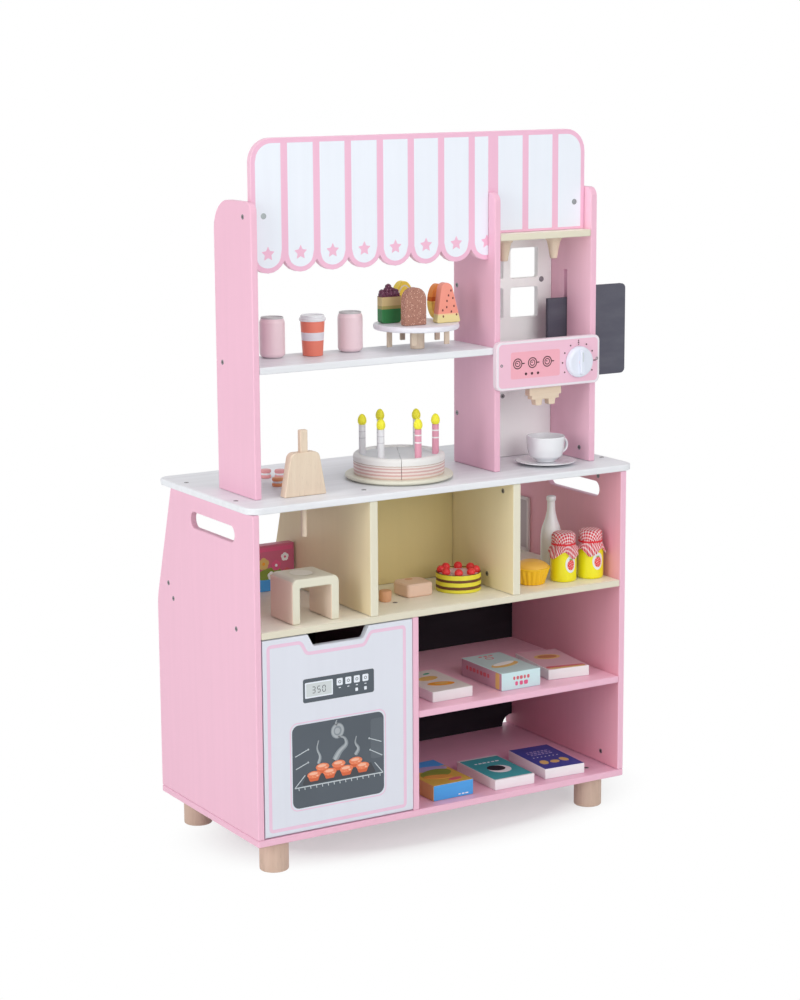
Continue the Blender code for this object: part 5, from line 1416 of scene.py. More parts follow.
    def figure(self, x: float, z: float, strokes: str) -> list[BMesh]:
        """Return a flat bar for each stroke of a figure that is on, given by its letter."""
        size, line = self.figure_size, self.figure_line
        level, steep = (size - line, line), (line, size - line)
        bars = {
            "a": (0.0, size, level), "b": (size / 2, size / 2, steep), "c": (size / 2, -size / 2, steep),
            "d": (0.0, -size, level), "e": (-size / 2, -size / 2, steep), "f": (-size / 2, size / 2, steep),
            "g": (0.0, 0.0, level),
        }
        return [placed(oblong(*bar, 0.0002, 2), x + dx, z + dz) for dx, dz, bar in map(bars.get, strokes)]

    def print_window(self) -> None:
        """Print the rails, the rack and the steam behind the oven's glass."""
        rails = []
        for low, high in self.rails:
            rails.append(line_of((low, high), self.rail_width))
            rails.append(placed(oval(0.0013, 0.0013, 12), *(low if low[0] > 0.1 else high)))
        rails.append(line_of(self.rack, self.rack_width))
        rails.extend(line_of(side, self.rail_width) for side in zip(self.rack, self.rack_backs))
        head, foot = self.tine_ends
        for number in range(self.tines):
            x = self.tine_start + self.tine_pitch * number
            rails.append(line_of(((x, head), (x + self.tine_lean, foot)), self.tine_width))
        self.print("side_wall", PRINT_WALL, 2, [field_of(self.side_wall, 0.0040)])
        self.print("rails", PRINT_LINE, 3, rails)
        soft, bright = [], []
        for path, width in self.steam:
            line = curved(path, 0.0060, 6)
            soft.append(line_of(line, width, 0.25))
            bright.append(line_of([(x - 0.0006, z) for x, z in line], width * 0.45, 0.25))
        soft.append(placed(oval(0.0104, 0.0110), *self.lamp_spot))
        bright.append(placed(rim(oval(0.0092, 0.0098), 0.0030), *self.lamp_spot))
        bright.append(placed(oval(0.0040, 0.0042, 20), 0.1222, 0.1878))
        self.print("steam", PRINT_STEAM, 3, soft)
        self.print("steam_light", PRINT_STEAM_LIGHT, 4, bright)

    def print_buns(self) -> None:
        """Print the tray and its buns."""
        tray = oblong(*self.tray_size)
        for vert in tray.verts:
            vert.co.x *= 1.0 - self.tray_narrowing * (vert.co.z > 0.0)
        self.print("tray", PRINT_DARK, 2, [placed(tray, *self.tray_spot)])
        cups, crowns, tops = [], [], []
        for x, z in self.buns:
            cup = oblong(*self.cup_size)
            for vert in cup.verts:
                vert.co.x *= 1.0 + self.cup_flare * (2 * vert.co.z / self.cup_size[1])
            cups.append(placed(cup, x, z - 0.0028))
            crowns.append(placed(oval(*self.crown_half, 24), x, z + 0.0022))
            tops.append(placed(oval(*self.light_half, 16), x - 0.0010, z + 0.0038))
            tops.append(placed(oval(*self.glint_half, 10), x + 0.0050, z + 0.0004))
        self.print("bun_cups", PRINT_CUP, 5, cups)
        self.print("bun_crowns", PRINT_ORANGE, 6, crowns)
        self.print("bun_lights", PRINT_CREAM, 7, tops)


# Coffee bay


@dataclass
class CoffeeBay:
    """The control panel's print, the knob, the nozzles, the cup and the saucer."""

    panel_front: float = 0.0382
    panel_margin: float = 0.0075
    red_field: Edges = (0.4268, 0.5094, 0.6350, 0.6725)
    icons: tuple[float, ...] = (0.4382, 0.4630, 0.4879)
    icon_height: float = 0.6562
    dots: tuple[float, ...] = (0.4521, 0.4622, 0.4724)
    dot_height: float = 0.6412
    knob_radius: float = 0.0222
    knob_thick: float = 0.0120
    tick_radius: float = 0.0272
    tick_start: float = -30.0
    tick_step: float = 30.0
    cup_radius: float = 0.0275
    cup_height: float = 0.0370
    saucer_radius: float = 0.0430

    def build(self) -> None:
        """Make the bay's pieces."""
        self.print_panel()
        self.make_knob()
        self.make_nozzles()
        self.make_saucer()
        self.make_cup()

    def print_panel(self) -> None:
        """Print the panel: a pink face inside its white edge, the red field with its signs, and the ticks."""
        low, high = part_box("control_panel")
        middle, margin = own(middle_of("control_panel")), self.panel_margin
        face = placed(oblong(high.x - low.x - margin, high.z - low.z - margin, 0.0062), middle.x, middle.z)
        marks = []
        for x in self.icons:
            marks.extend(self.cup_sign(x, self.icon_height))
        marks += [placed(oval(0.0020, 0.0020, 16), x, self.dot_height) for x in self.dots]
        ticks = [(number, 1.0, 0.0012, 12) for number in range(9)]
        ticks += [(number, share, 0.0009, 12) for number in (1, 4) for share in (0.9, 1.1)]
        knob = own(middle_of("control_knob"))
        for number, share, size, segments in ticks:
            x, z = spot_on_ring(self.tick_radius * share, self.tick_start + self.tick_step * number)
            marks.append(placed(oval(size, size, segments), knob.x + x, knob.z + z))
        layers = (
            ("face", face, PANEL_FACE), ("field", field_of(self.red_field, 0.0030), PRINT_ROSE_PALE),
            ("marks", joined(marks), PRINT_BROWN),
        )
        for level, (name, shape, finish) in enumerate(layers, 1):
            moved(raised(shape, level), y=at(0.0, self.panel_front, 0.0).y)
            add_print(f"panel_print_{name}", shape, finish, "stand", "pink_paint")

    def cup_sign(self, x: float, z: float) -> list[BMesh]:
        """Return the sign of a cup seen from above: two rings and a handle."""
        return [
            placed(rim(oval(0.0076, 0.0076, 36), 0.0014), x, z),
            placed(rim(oval(0.0045, 0.0045, 28), 0.0012), x, z),
            placed(oval(0.0014, 0.0009, 12), x - 0.0008, z + 0.0006),
            placed(oblong(0.0046, 0.0015, 0.0005, 2), x + 0.0094, z),
        ]

    def make_knob(self) -> None:
        """Make the turning knob: a low cone with a ridge across it and a pointer line."""
        low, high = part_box("control_knob")
        middle = middle_of("control_knob")
        r, t = self.knob_radius, self.knob_thick
        face = 0.80 * r
        profile = [(0.0, 0.0), (r, 0.0), (r, 0.22 * t), (0.94 * r, 0.52 * t), (face, 0.64 * t), (0.0, 0.60 * t)]
        body = lathe(profile, 72, 0.0012)
        grip = rounded(thickened(oblong(0.0068, 2 * face * 0.98, 0.0030), t * 0.9), 0.0014, 4, 50.0)
        grip = moved(lying(grip), z=t * 0.97)
        shape = moved(turned(joined([body, grip]), 90.0, "X"), middle.x, high.y, middle.z)
        add_piece("knob_turned", shape, KNOB_WHITE, "knob", "knob_white", ["control_knob"])
        line = moved(raised(oblong(0.0012, 0.0130, 0.0005, 3), 2), middle.x, low.y, middle.z + 0.0075)
        add_print("knob_pointer", line, PRINT_PALE, "knob", "knob_white")

    def make_nozzles(self) -> None:
        """Turn the two wooden nozzles."""
        top, tip, length, collar = 0.012, 0.005, 0.032, 0.006
        profile = [
            (0.0, -length), (tip, -length), (tip + 0.0020, -length * 0.62), (top * 0.82, -collar - 0.001),
            (top, -collar + 0.001), (top, 0.0), (0.0, 0.0),
        ]
        for side in ("left", "right"):
            node = f"nozzle_{side}"
            middle = middle_of(node)
            shape = moved(lathe(profile, 48, 0.0016), middle.x, middle.y, top_of(node))
            add_piece(f"{node}_turned", shape, WOOD, "stand", "bare_wood", [node])

    def make_saucer(self) -> None:
        """Make the saucer."""
        low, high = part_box("saucer")
        r, h = self.saucer_radius, high.z - low.z
        profile = [
            (0.0, 0.0), (0.50 * r, 0.0), (0.80 * r, 0.45 * h), (r, h - 0.0012), (r, h), (0.96 * r, h),
            (0.62 * r, 0.55 * h), (0.42 * r, 0.52 * h), (0.0, 0.52 * h),
        ]
        add_turned("saucer_turned", "saucer", lathe(profile, 72, 0.0014, 3), CHINA, "toy_white")

    def make_cup(self) -> None:
        """Make the cup with its ear."""
        r, h, wall = self.cup_radius, self.cup_height, 0.0026
        profile = [
            (0.0, 0.0), (0.0130, 0.0), (0.0142, 0.0022), (0.62 * r, 0.0042), (0.85 * r, 0.22 * h), (0.95 * r, 0.50 * h),
            (0.99 * r, 0.86 * h), (r, h), (r - wall * 0.7, h), (0.95 * r - wall, 0.55 * h), (0.82 * r - wall, 0.28 * h),
            (0.50 * r, 0.16 * h), (0.0, 0.14 * h),
        ]
        cup = joined([lathe(profile, 72, 0.0022), self.ear(r * 0.95, h * 0.58, 0.0105)])
        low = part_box("coffee_cup")[0]
        moved(cup, low.x + r, middle_of("coffee_cup").y, low.z)
        add_piece("coffee_cup_turned", cup, CHINA, "coffee_cup", "toy_white", ["coffee_cup"])

    def ear(self, reach: float, height: float, radius: float) -> BMesh:
        """Return the cup's ear: a flattened bar bent round a half ring."""
        bm = bmesh.new()
        bmesh.ops.create_circle(bm, cap_ends=True, segments=16, radius=1.0)
        bmesh.ops.scale(bm, vec=(0.0018, 0.0026, 1.0), verts=bm.verts)
        turned(moved(bm, -radius), 100.0, "Y")
        spun(bm, bm.verts[:] + bm.edges[:] + bm.faces[:], 200.0, 24, (0.0, 1.0, 0.0))
        bmesh.ops.recalc_face_normals(bm, faces=bm.faces)
        return moved(bm, reach, 0.0, height)


# Ice pops and drinks on the upper shelf


@dataclass(frozen=True)
class Pop:
    """Where an ice pop stands, and how long its stick is."""

    x: float
    y: float
    stick: float = 0.029


@dataclass
class IcePops:
    """The round tray on its wooden foot, and the five ice pops whose sticks hang through it."""

    centre: Point = (0.3120, 0.1010)
    radius: float = 0.0595
    low: float = 0.7080
    high: float = 0.7160
    foot_radius: float = 0.0100
    foot_shift: float = 0.0040
    thick: float = 0.0130
    stick_width: float = 0.0080
    stick_thick: float = 0.0030
    arch_radius: float = 0.0168
    lemon_half: float = 0.0268
    places: dict[str, Pop] = field(
        default_factory=lambda: {
            "layers": Pop(0.2795, 0.1190, 0.0340), "arch": Pop(0.2935, 0.0775), "melon": Pop(0.3486, 0.0805, 0.0305),
            "lemon": Pop(0.3155, 0.1435), "mango": Pop(0.3567, 0.1180),
        }
    )
    seeds: tuple[Point, ...] = (
        (0.0030, 0.0440), (0.0060, 0.0335), (-0.0035, 0.0300), (-0.0040, 0.0215), (0.0078, 0.0225),
        (0.0035, 0.0150), (0.0120, 0.0105), (-0.0095, 0.0090), (-0.0010, 0.0375), (-0.0105, 0.0175),
    )
    heap: tuple[Spot, ...] = (
        (-0.0112, -0.0030, 0.0392), (-0.0108, 0.0032, 0.0388), (-0.0112, 0.0002, 0.0420), (-0.0058, -0.0036, 0.0394),
        (-0.0052, 0.0034, 0.0396), (0.0000, -0.0034, 0.0400), (0.0006, 0.0036, 0.0398), (0.0058, -0.0034, 0.0396),
        (0.0060, 0.0034, 0.0394), (0.0110, -0.0030, 0.0388), (0.0108, 0.0033, 0.0390), (-0.0040, 0.0000, 0.0448),
        (0.0018, -0.0012, 0.0458), (0.0066, 0.0008, 0.0436), (-0.0008, 0.0010, 0.0490), (0.0110, 0.0000, 0.0425),
    )

    def build(self) -> None:
        """Make the tray and the pops."""
        self.make_tray()
        self.make_pop("layers", LAYER_BANDS, tapered(0.0304, 0.0372, 1.0, 0.0045, 0.0006), "toy_green")
        self.make_berries()
        r, half = self.arch_radius, self.lemon_half
        self.make_pop("arch", CRUMB, tapered(2 * r, 0.0514, 1.0, 0.0, r), "toy_brown")
        self.make_pop("melon", MELON_BANDS, tapered(0.0382, 0.0548, 0.40, 0.0028, 0.0085, -0.0035), "toy_melon")
        for side, name in ((-1, "front"), (1, "back")):
            dots = raised(joined(moved(oval(0.0012, 0.0016, 12), x, 0.0, z) for x, z in self.seeds), 2)
            shape = turned(dots, 180.0, "Z") if side > 0 else dots
            moved(shape, *self.spot("melon", y=side * self.thick / 2))
            add_print(f"ice_pop_melon_seeds_{name}", shape, SEED, "ice_pop_melon", "toy_brown")
        self.make_pop("lemon", LEMON, moved(oval(0.0150, half, 48), z=half), "toy_yellow")
        self.make_pop("mango", MANGO_BANDS, moved(oval(0.0130, 0.0248, 48), z=0.0248), "toy_orange")
        ring = moved(raised(rim(oval(0.0118, 0.0218, 48), 0.0018), 1), *self.spot("lemon", y=-self.thick / 2, z=half))
        add_print("ice_pop_lemon_ring", ring, CREAM_TOY, "ice_pop_lemon", "toy_yellow")

    def spot(self, name: str, x: float = 0.0, y: float = 0.0, z: float = 0.0) -> Vector:
        """Return a place beside the foot of a pop."""
        pop = self.places[name]
        return at(pop.x + x, pop.y + y, POP_FOOT + z)

    def make_tray(self) -> None:
        """Make the tray with a slot for each stick, and its foot."""
        low = self.low
        disc = lathe(drum(self.radius, low, self.high), 96, 0.0034, 6)
        spot = at(*self.centre, 0.0)
        node = "pop_tray"
        tray = add_piece(f"{node}_disc", moved(disc, spot.x, spot.y), TRAY_WHITE, node, "toy_white", [node])
        slot = (self.stick_width + 0.0006, self.stick_thick + 0.0006, 0.03)
        cut_away(tray, joined(moved(block(*slot), *at(pop.x, pop.y, low - 0.01)) for pop in self.places.values()))
        foot = lathe(drum(self.foot_radius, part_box(node)[0].z, low), 40, 0.0008, 3)
        moved(foot, spot.x + self.foot_shift, spot.y + self.foot_shift)
        add_piece(f"{node}_foot", foot, WOOD, node, "bare_wood")

    def make_pop(self, name: str, finish: Finish, outline: BMesh, slot: str) -> None:
        """Make a pop from its flat outline, with its stick.

        Args:
            name: the pop's name.
            finish: what it is painted with.
            outline: its flat outline, standing on the origin.
            slot: the record's material slot.
        """
        node, length = f"ice_pop_{name}", self.places[name].stick
        shape = rounded(thickened(outline, self.thick), 0.0013, 4, 50.0)
        add_piece(f"{node}_ice", moved(shape, *self.spot(name, y=-self.thick / 2)), finish, node, slot, [node])
        stick = rounded(block(self.stick_width, self.stick_thick, length + 0.006), 0.0009, 3)
        add_piece(f"{node}_stick", moved(stick, *self.spot(name, z=-length)), WOOD, node, "bare_wood")

    def make_berries(self) -> None:
        """Make the heap of berries on the pop of three layers."""
        berries = []
        for number, shift in enumerate(self.heap):
            berry = roughen(ball(0.0038 + 0.0004 * (number % 3), 3), 0.0004, 5.0 + number)
            berries.append(moved(berry, *self.spot("layers", *shift)))
        add_piece("ice_pop_layers_berries", joined(berries), PLUM, "ice_pop_layers", "toy_brown")


@dataclass
class Drinks:
    """The two cans and the drink cup on the upper shelf."""

    can_radius: float = 0.0173
    can_height: float = 0.0548
    cup_base: float = 0.0138
    cup_top: float = 0.0166
    cup_lid: float = 0.0182
    cup_height: float = 0.0550

    def build(self) -> None:
        """Make the three pieces."""
        r, h = self.can_radius, self.can_height
        wall = [
            (0.0, 0.0), (0.74 * r, 0.0), (0.80 * r, 0.0008), (0.90 * r, 0.0022), (r, 0.0050), (r, h - 0.0070),
            (0.90 * r, h - 0.0026), (0.86 * r, h - 0.0020), (0.0, h - 0.0020),
        ]
        seam = [
            (0.0, h - 0.0030), (0.84 * r, h - 0.0030), (0.885 * r, h - 0.0022), (0.885 * r, h), (0.83 * r, h),
            (0.80 * r, h - 0.0016), (0.0, h - 0.0016),
        ]
        for node in ("can_left", "can_right"):
            add_turned(f"{node}_wall", node, lathe(wall, 64, 0.0012), CAN_PAINT, "toy_pink")
            add_turned(f"{node}_top", node, lathe(seam, 64, 0.0005, 3), CAN_TOP, "pin_steel", replaced=False)
        r, h, lid = self.cup_lid, self.cup_height, self.cup_height * 0.86
        wall = [(0.0, 0.0), (self.cup_base, 0.0), (self.cup_top, lid), (0.0, lid)]
        cover = [
            (0.0, lid - 0.0005), (r - 0.0006, lid - 0.0005), (r, lid + 0.0008), (r, lid + 0.0034),
            (0.93 * r, lid + 0.0044), (0.87 * r, h), (0.80 * r, h), (0.77 * r, h - 0.0012), (0.0, h - 0.0012),
        ]
        node = "drink_cup"
        add_turned(f"{node}_wall", node, lathe(wall, 64, 0.0008, 3), CUP_BANDS, "toy_coral", replaced=False)
        add_turned(f"{node}_lid", node, lathe(cover, 64, 0.0007, 3), CHINA, "toy_white")


# Birthday cake


@dataclass
class BirthdayCake:
    """The cake in six slices on its plate, with a ring of candles."""

    node: str = "birthday_cake"
    plate_radius: float = 0.0750
    plate_height: float = 0.0070
    radius: float = 0.0635
    height: float = 0.0290
    core: float = 0.0015
    rim_width: float = 0.0095
    recess: float = 0.0030
    slices: int = 6
    turn: float = 2.0
    cut: float = 0.0003
    icing: float = 0.0003
    candle_ring: float = 0.0505
    candle_radius: float = 0.0047
    candle_height: float = 0.0385
    flame_height: float = 0.0150
    candle_angles: tuple[float, ...] = (30.0, 90.0, 150.0, 210.0, 270.0, 328.0)
    pink_candles: tuple[int, ...] = (4, 5)

    def build(self) -> None:
        """Make the plate, the slices and the candles."""
        r, h = self.plate_radius, self.plate_height
        profile = [
            (0.0, 0.0), (0.92 * r, 0.0), (r, 0.42 * h), (r, 0.80 * h), (0.98 * r, h), (0.94 * r, h),
            (0.925 * r, 0.96 * h), (0.0, 0.96 * h),
        ]
        add_turned("cake_plate_turned", "cake_plate", lathe(profile, 112, 0.0018), PLATE_CREAM, "toy_white")
        self.make_slices()
        self.make_candles()

    def make_slices(self) -> None:
        """Make the slices, a little apart, with the raised icing rim, and a grey disc on the recessed top that is
        painted shade.
        """
        r, h, core = self.radius - self.cut, self.height, self.core
        inner, low = r - self.rim_width, h - self.recess
        profile = [
            (core, 0.0), (r - 0.0010, 0.0), (r - 0.0006, 0.0060), (r - 0.0002, h - 0.0095), (r, h - 0.0085),
            (r, h - 0.0028), (r - 0.0028, h), (inner + 0.0010, h), (inner, low), (core, low),
        ]
        outline = curved(profile, 0.0016)
        # The grey disc on the recess floor is painted shade
        edge, up = inner - 0.0008, low + self.icing
        shade = [(core, low), (edge, low), (edge, up), (core, up)]
        step = 360.0 / self.slices
        shapes, tops = [], []
        for number in range(self.slices):
            piece = turned(wedge_of(outline, step - 0.3, 120), step * number + self.turn, "Z")
            shapes.append(moved(piece, *spot_on_ring(self.cut, step * (number + 0.5) + self.turn)))
            tops.append(turned(wedge_of(shade, step - 1.2, 96), step * number + self.turn + 0.3, "Z"))
        foot = foot_of(self.node)
        cake, icing = moved(joined(shapes), *foot), moved(joined(tops), *foot)
        add_piece(f"{self.node}_slices", cake, CAKE_BANDS, self.node, "toy_white", [self.node], smooth=35.0)
        add_print(f"{self.node}_icing", icing, ICING_RECESS_SHADE, self.node, "toy_white")

    def make_candles(self) -> None:
        """Make the candles and their flames."""
        r, top, flame = self.candle_radius, self.candle_height + self.recess, self.flame_height
        wax = drum(r, 0.0, top)
        bud = [
            (0.0, 0.0), (0.90 * r, 0.0), (1.22 * r, 0.14 * flame), (1.34 * r, 0.34 * flame), (1.24 * r, 0.58 * flame),
            (0.84 * r, 0.84 * flame), (0.40 * r, 0.96 * flame), (0.0, flame),
        ]
        foot = foot_of(self.node)
        white, pink, flames = [], [], []
        for number, angle in enumerate(self.candle_angles):
            x, y = spot_on_ring(self.candle_ring, angle)
            spot = foot + Vector((x, y, self.height - self.recess))
            (pink if number in self.pink_candles else white).append(moved(lathe(wax, 32, 0.0004, 2), *spot))
            flames.append(moved(lathe(bud, 32, 0.0012, 3), spot.x, spot.y, spot.z + top))
        add_piece(f"{self.node}_white_candles", joined(white), CANDLE_WHITE, self.node, "toy_white")
        add_piece(f"{self.node}_pink_candles", joined(pink), CANDLE_PINK, self.node, "toy_pink")
        add_piece(f"{self.node}_flames", joined(flames), FLAME, self.node, "toy_yellow")


# Bakery pieces in the cubbies


@dataclass
class Bakery:
    """The berry cake, the orange tart, the milk bottle, the bun and the sweets."""

    cake_radius: float = 0.0320
    cake_height: float = 0.0260
    berry_radius: float = 0.0060
    berries: int = 8
    tart_base: float = 0.0192
    tart_rim: float = 0.0270
    tart_height: float = 0.0240
    tart_dome: float = 0.0100
    flutes: int = 20
    flute_depth: float = 0.055
    bottle_radius: float = 0.0152
    bottle_neck: float = 0.0056
    bottle_height: float = 0.1100
    bun_place: Point = (0.2400, 0.0690)
    sandwich_spot: Point = (0.2956, 0.0979)
    arch_spot: Point = (0.0975, 0.0500)
    sweets: tuple[tuple[float, float, str], ...] = (
        (0.1190, 0.1870, "rose"), (0.1355, 0.1750, "rose"), (0.1040, 0.1240, "orange"),
    )

    def build(self) -> None:
        """Make every piece."""
        self.make_berry_cake()
        self.make_tart()
        self.make_bottle()
        self.make_bun()
        seed, top_oval = oval(0.0060, 0.0044, 24), oval(0.0150, 0.0170, 48)
        self.make_spot("sandwich_slice", "sandwich_spot", self.sandwich_spot, seed, BUN, "toy_peach")
        self.make_spot("arch_stand", "arch_stand_spot", self.arch_spot, top_oval, TOP_OVAL_PAINT, "toy_white")
        self.make_sweets()
        self.make_picture()

    def make_berry_cake(self) -> None:
        """Make the banded cake with its white top and the ring of berries."""
        node, r, h = "berry_cake", self.cake_radius, self.cake_height
        spot = foot_of(node)
        profile = [(0.0, 0.0), (r, 0.0), (r, h), (r - 0.0022, h), (r - 0.0036, h - 0.003), (0.0, h - 0.003)]
        add_turned(f"{node}_layers", node, lathe(profile, 72, 0.0012), BERRY_CAKE_BANDS, "toy_yellow")
        top = r - 0.0042
        cream = lathe([(0.0, h - 0.0035), (top, h - 0.0035), (top, h - 0.0012), (0.0, h - 0.0004)], 64, 0.0008, 3)
        add_turned(f"{node}_cream", node, cream, CREAM_TOP, "toy_white", replaced=False)
        ring = r - 0.0035 - self.berry_radius * 0.65
        fruit = []
        for number in range(self.berries):
            x, y = spot_on_ring(ring, 360.0 * (number + 0.3) / self.berries)
            berry = dimple(ball(self.berry_radius, 4), self.berry_radius)
            fruit.append(moved(berry, spot.x + x, spot.y + y, spot.z + h + 0.002))
        add_piece(f"{node}_berries", joined(fruit), BERRY, node, "toy_coral")

    def make_tart(self) -> None:
        """Make the fluted case, which widens upwards, and its domed filling."""
        node, r, h, dome = "orange_tart", self.tart_rim, self.tart_height, self.tart_dome
        profile = [
            (0.0, 0.0), (self.tart_base, 0.0), (r - 0.0010, h - 0.0030), (r, h - 0.0012), (r, h),
            (r - 0.0018, h + 0.0006), (0.0, h),
        ]
        case = lathe(profile, self.flutes * 8, 0.0010, 3)
        for vert in case.verts:
            if vert.co.xy.length > self.tart_base * 0.9 and vert.co.z < h - 0.002:
                vert.co.xy *= 1.0 - self.flute_depth * wave_round(vert, self.flutes)
        add_turned(f"{node}_case", node, case, TART, "toy_orange")
        top = [
            (0.0, h - 0.002), (r - 0.0016, h - 0.002), (r - 0.0022, h + 0.0016), (0.80 * r, h + 0.0050),
            (0.45 * r, h + 0.92 * dome), (0.0, h + dome),
        ]
        add_turned(f"{node}_filling", node, lathe(top, 72, 0.0040, 5), FILLING, "toy_orange", replaced=False)

    def make_bottle(self) -> None:
        """Make the milk bottle."""
        r, h, neck = self.bottle_radius, self.bottle_height, self.bottle_neck
        profile = [
            (0.0, 0.0), (0.92 * r, 0.0), (r, 0.0022), (r, 0.46 * h), (0.92 * r, 0.56 * h), (0.56 * r, 0.70 * h),
            (1.08 * neck, 0.80 * h), (neck, 0.93 * h), (1.25 * neck, 0.945 * h), (1.25 * neck, h), (0.0, h),
        ]
        add_turned("milk_bottle_turned", "milk_bottle", lathe(profile, 64, 0.0040, 5), MILK, "toy_white")

    def make_bun(self) -> None:
        """Make the small ribbed bun."""
        profile = [(0.0, 0.0), (0.0084, 0.0), (0.0090, 0.0128), (0.0082, 0.0154), (0.0, 0.0165)]
        bun = lathe(profile, 120, 0.0018)
        for vert in bun.verts:
            if vert.co.z < 0.0138:
                vert.co.xy *= 1.0 - 0.03 * wave_round(vert, 24)
        spot = at(*self.bun_place, 0.0)
        add_piece("small_bun", moved(bun, spot.x, spot.y, top_of("cubby_shelf")), BUN, "stand", "toy_peach")

    def make_spot(self, node: str, name: str, place: Point, shape: BMesh, finish: Finish, slot: str) -> None:
        """Paint a round spot on the top of a play piece."""
        spot = at(*place, 0.0)
        add_print(name, moved(lying(raised(shape, 2)), spot.x, spot.y, top_of(node)), finish, node, slot)

    def make_sweets(self) -> None:
        """Make the sweets behind the press, each of two shells and a filling."""
        counter = top_of("counter_top")
        shells = {"rose": [], "orange": []}
        middles = []
        for x, y, colour in self.sweets:
            place = at(x, y, 0.0)
            for low, high in ((0.0, 0.0048), (0.0072, 0.0120)):
                half = [(0.0, low), (0.0072, low), (0.0080, (low + high) / 2), (0.0072, high), (0.0, high)]
                shells[colour].append(moved(lathe(half, 40, 0.0022), place.x, place.y, counter))
            cream = lathe(drum(0.0068, 0.0042, 0.0078), 40, 0.0010, 3)
            middles.append(moved(cream, place.x, place.y, counter))
        add_piece("sweets_rose", joined(shells["rose"]), SWEET_ROSE, "stand", "toy_pink")
        add_piece("sweets_orange", joined(shells["orange"]), SWEET_ORANGE, "stand", "toy_orange")
        add_piece("sweets_filling", joined(middles), CHINA, "stand", "toy_white")

    def make_picture(self) -> None:
        """Make the small framed card that leans on the right side panel in the right cubby."""
        thick, wide, tall, border = 0.0036, 0.0340, 0.0830, 0.0050
        frame = rounded(thickened(rim(oblong(wide, tall, 0.0030, 4), border), thick), 0.0005, 2, 50.0)
        card = thickened(oblong(wide - 1.6 * border, tall - 1.6 * border), thick * 0.5)
        spot = at(0.5902 - thick, 0.2440, 0.0)
        for shape, shift in ((frame, 0.0), (card, thick * 0.45)):
            moved(turned(shape, -90.0, "Z"), spot.x + shift, spot.y, top_of("cubby_shelf") + tall / 2)
        add_piece("small_picture_frame", frame, FRAME_GREY, "stand", "chalk_paint")
        add_print("small_picture_card", card, CARD_GREY, "stand", "chalk_paint")


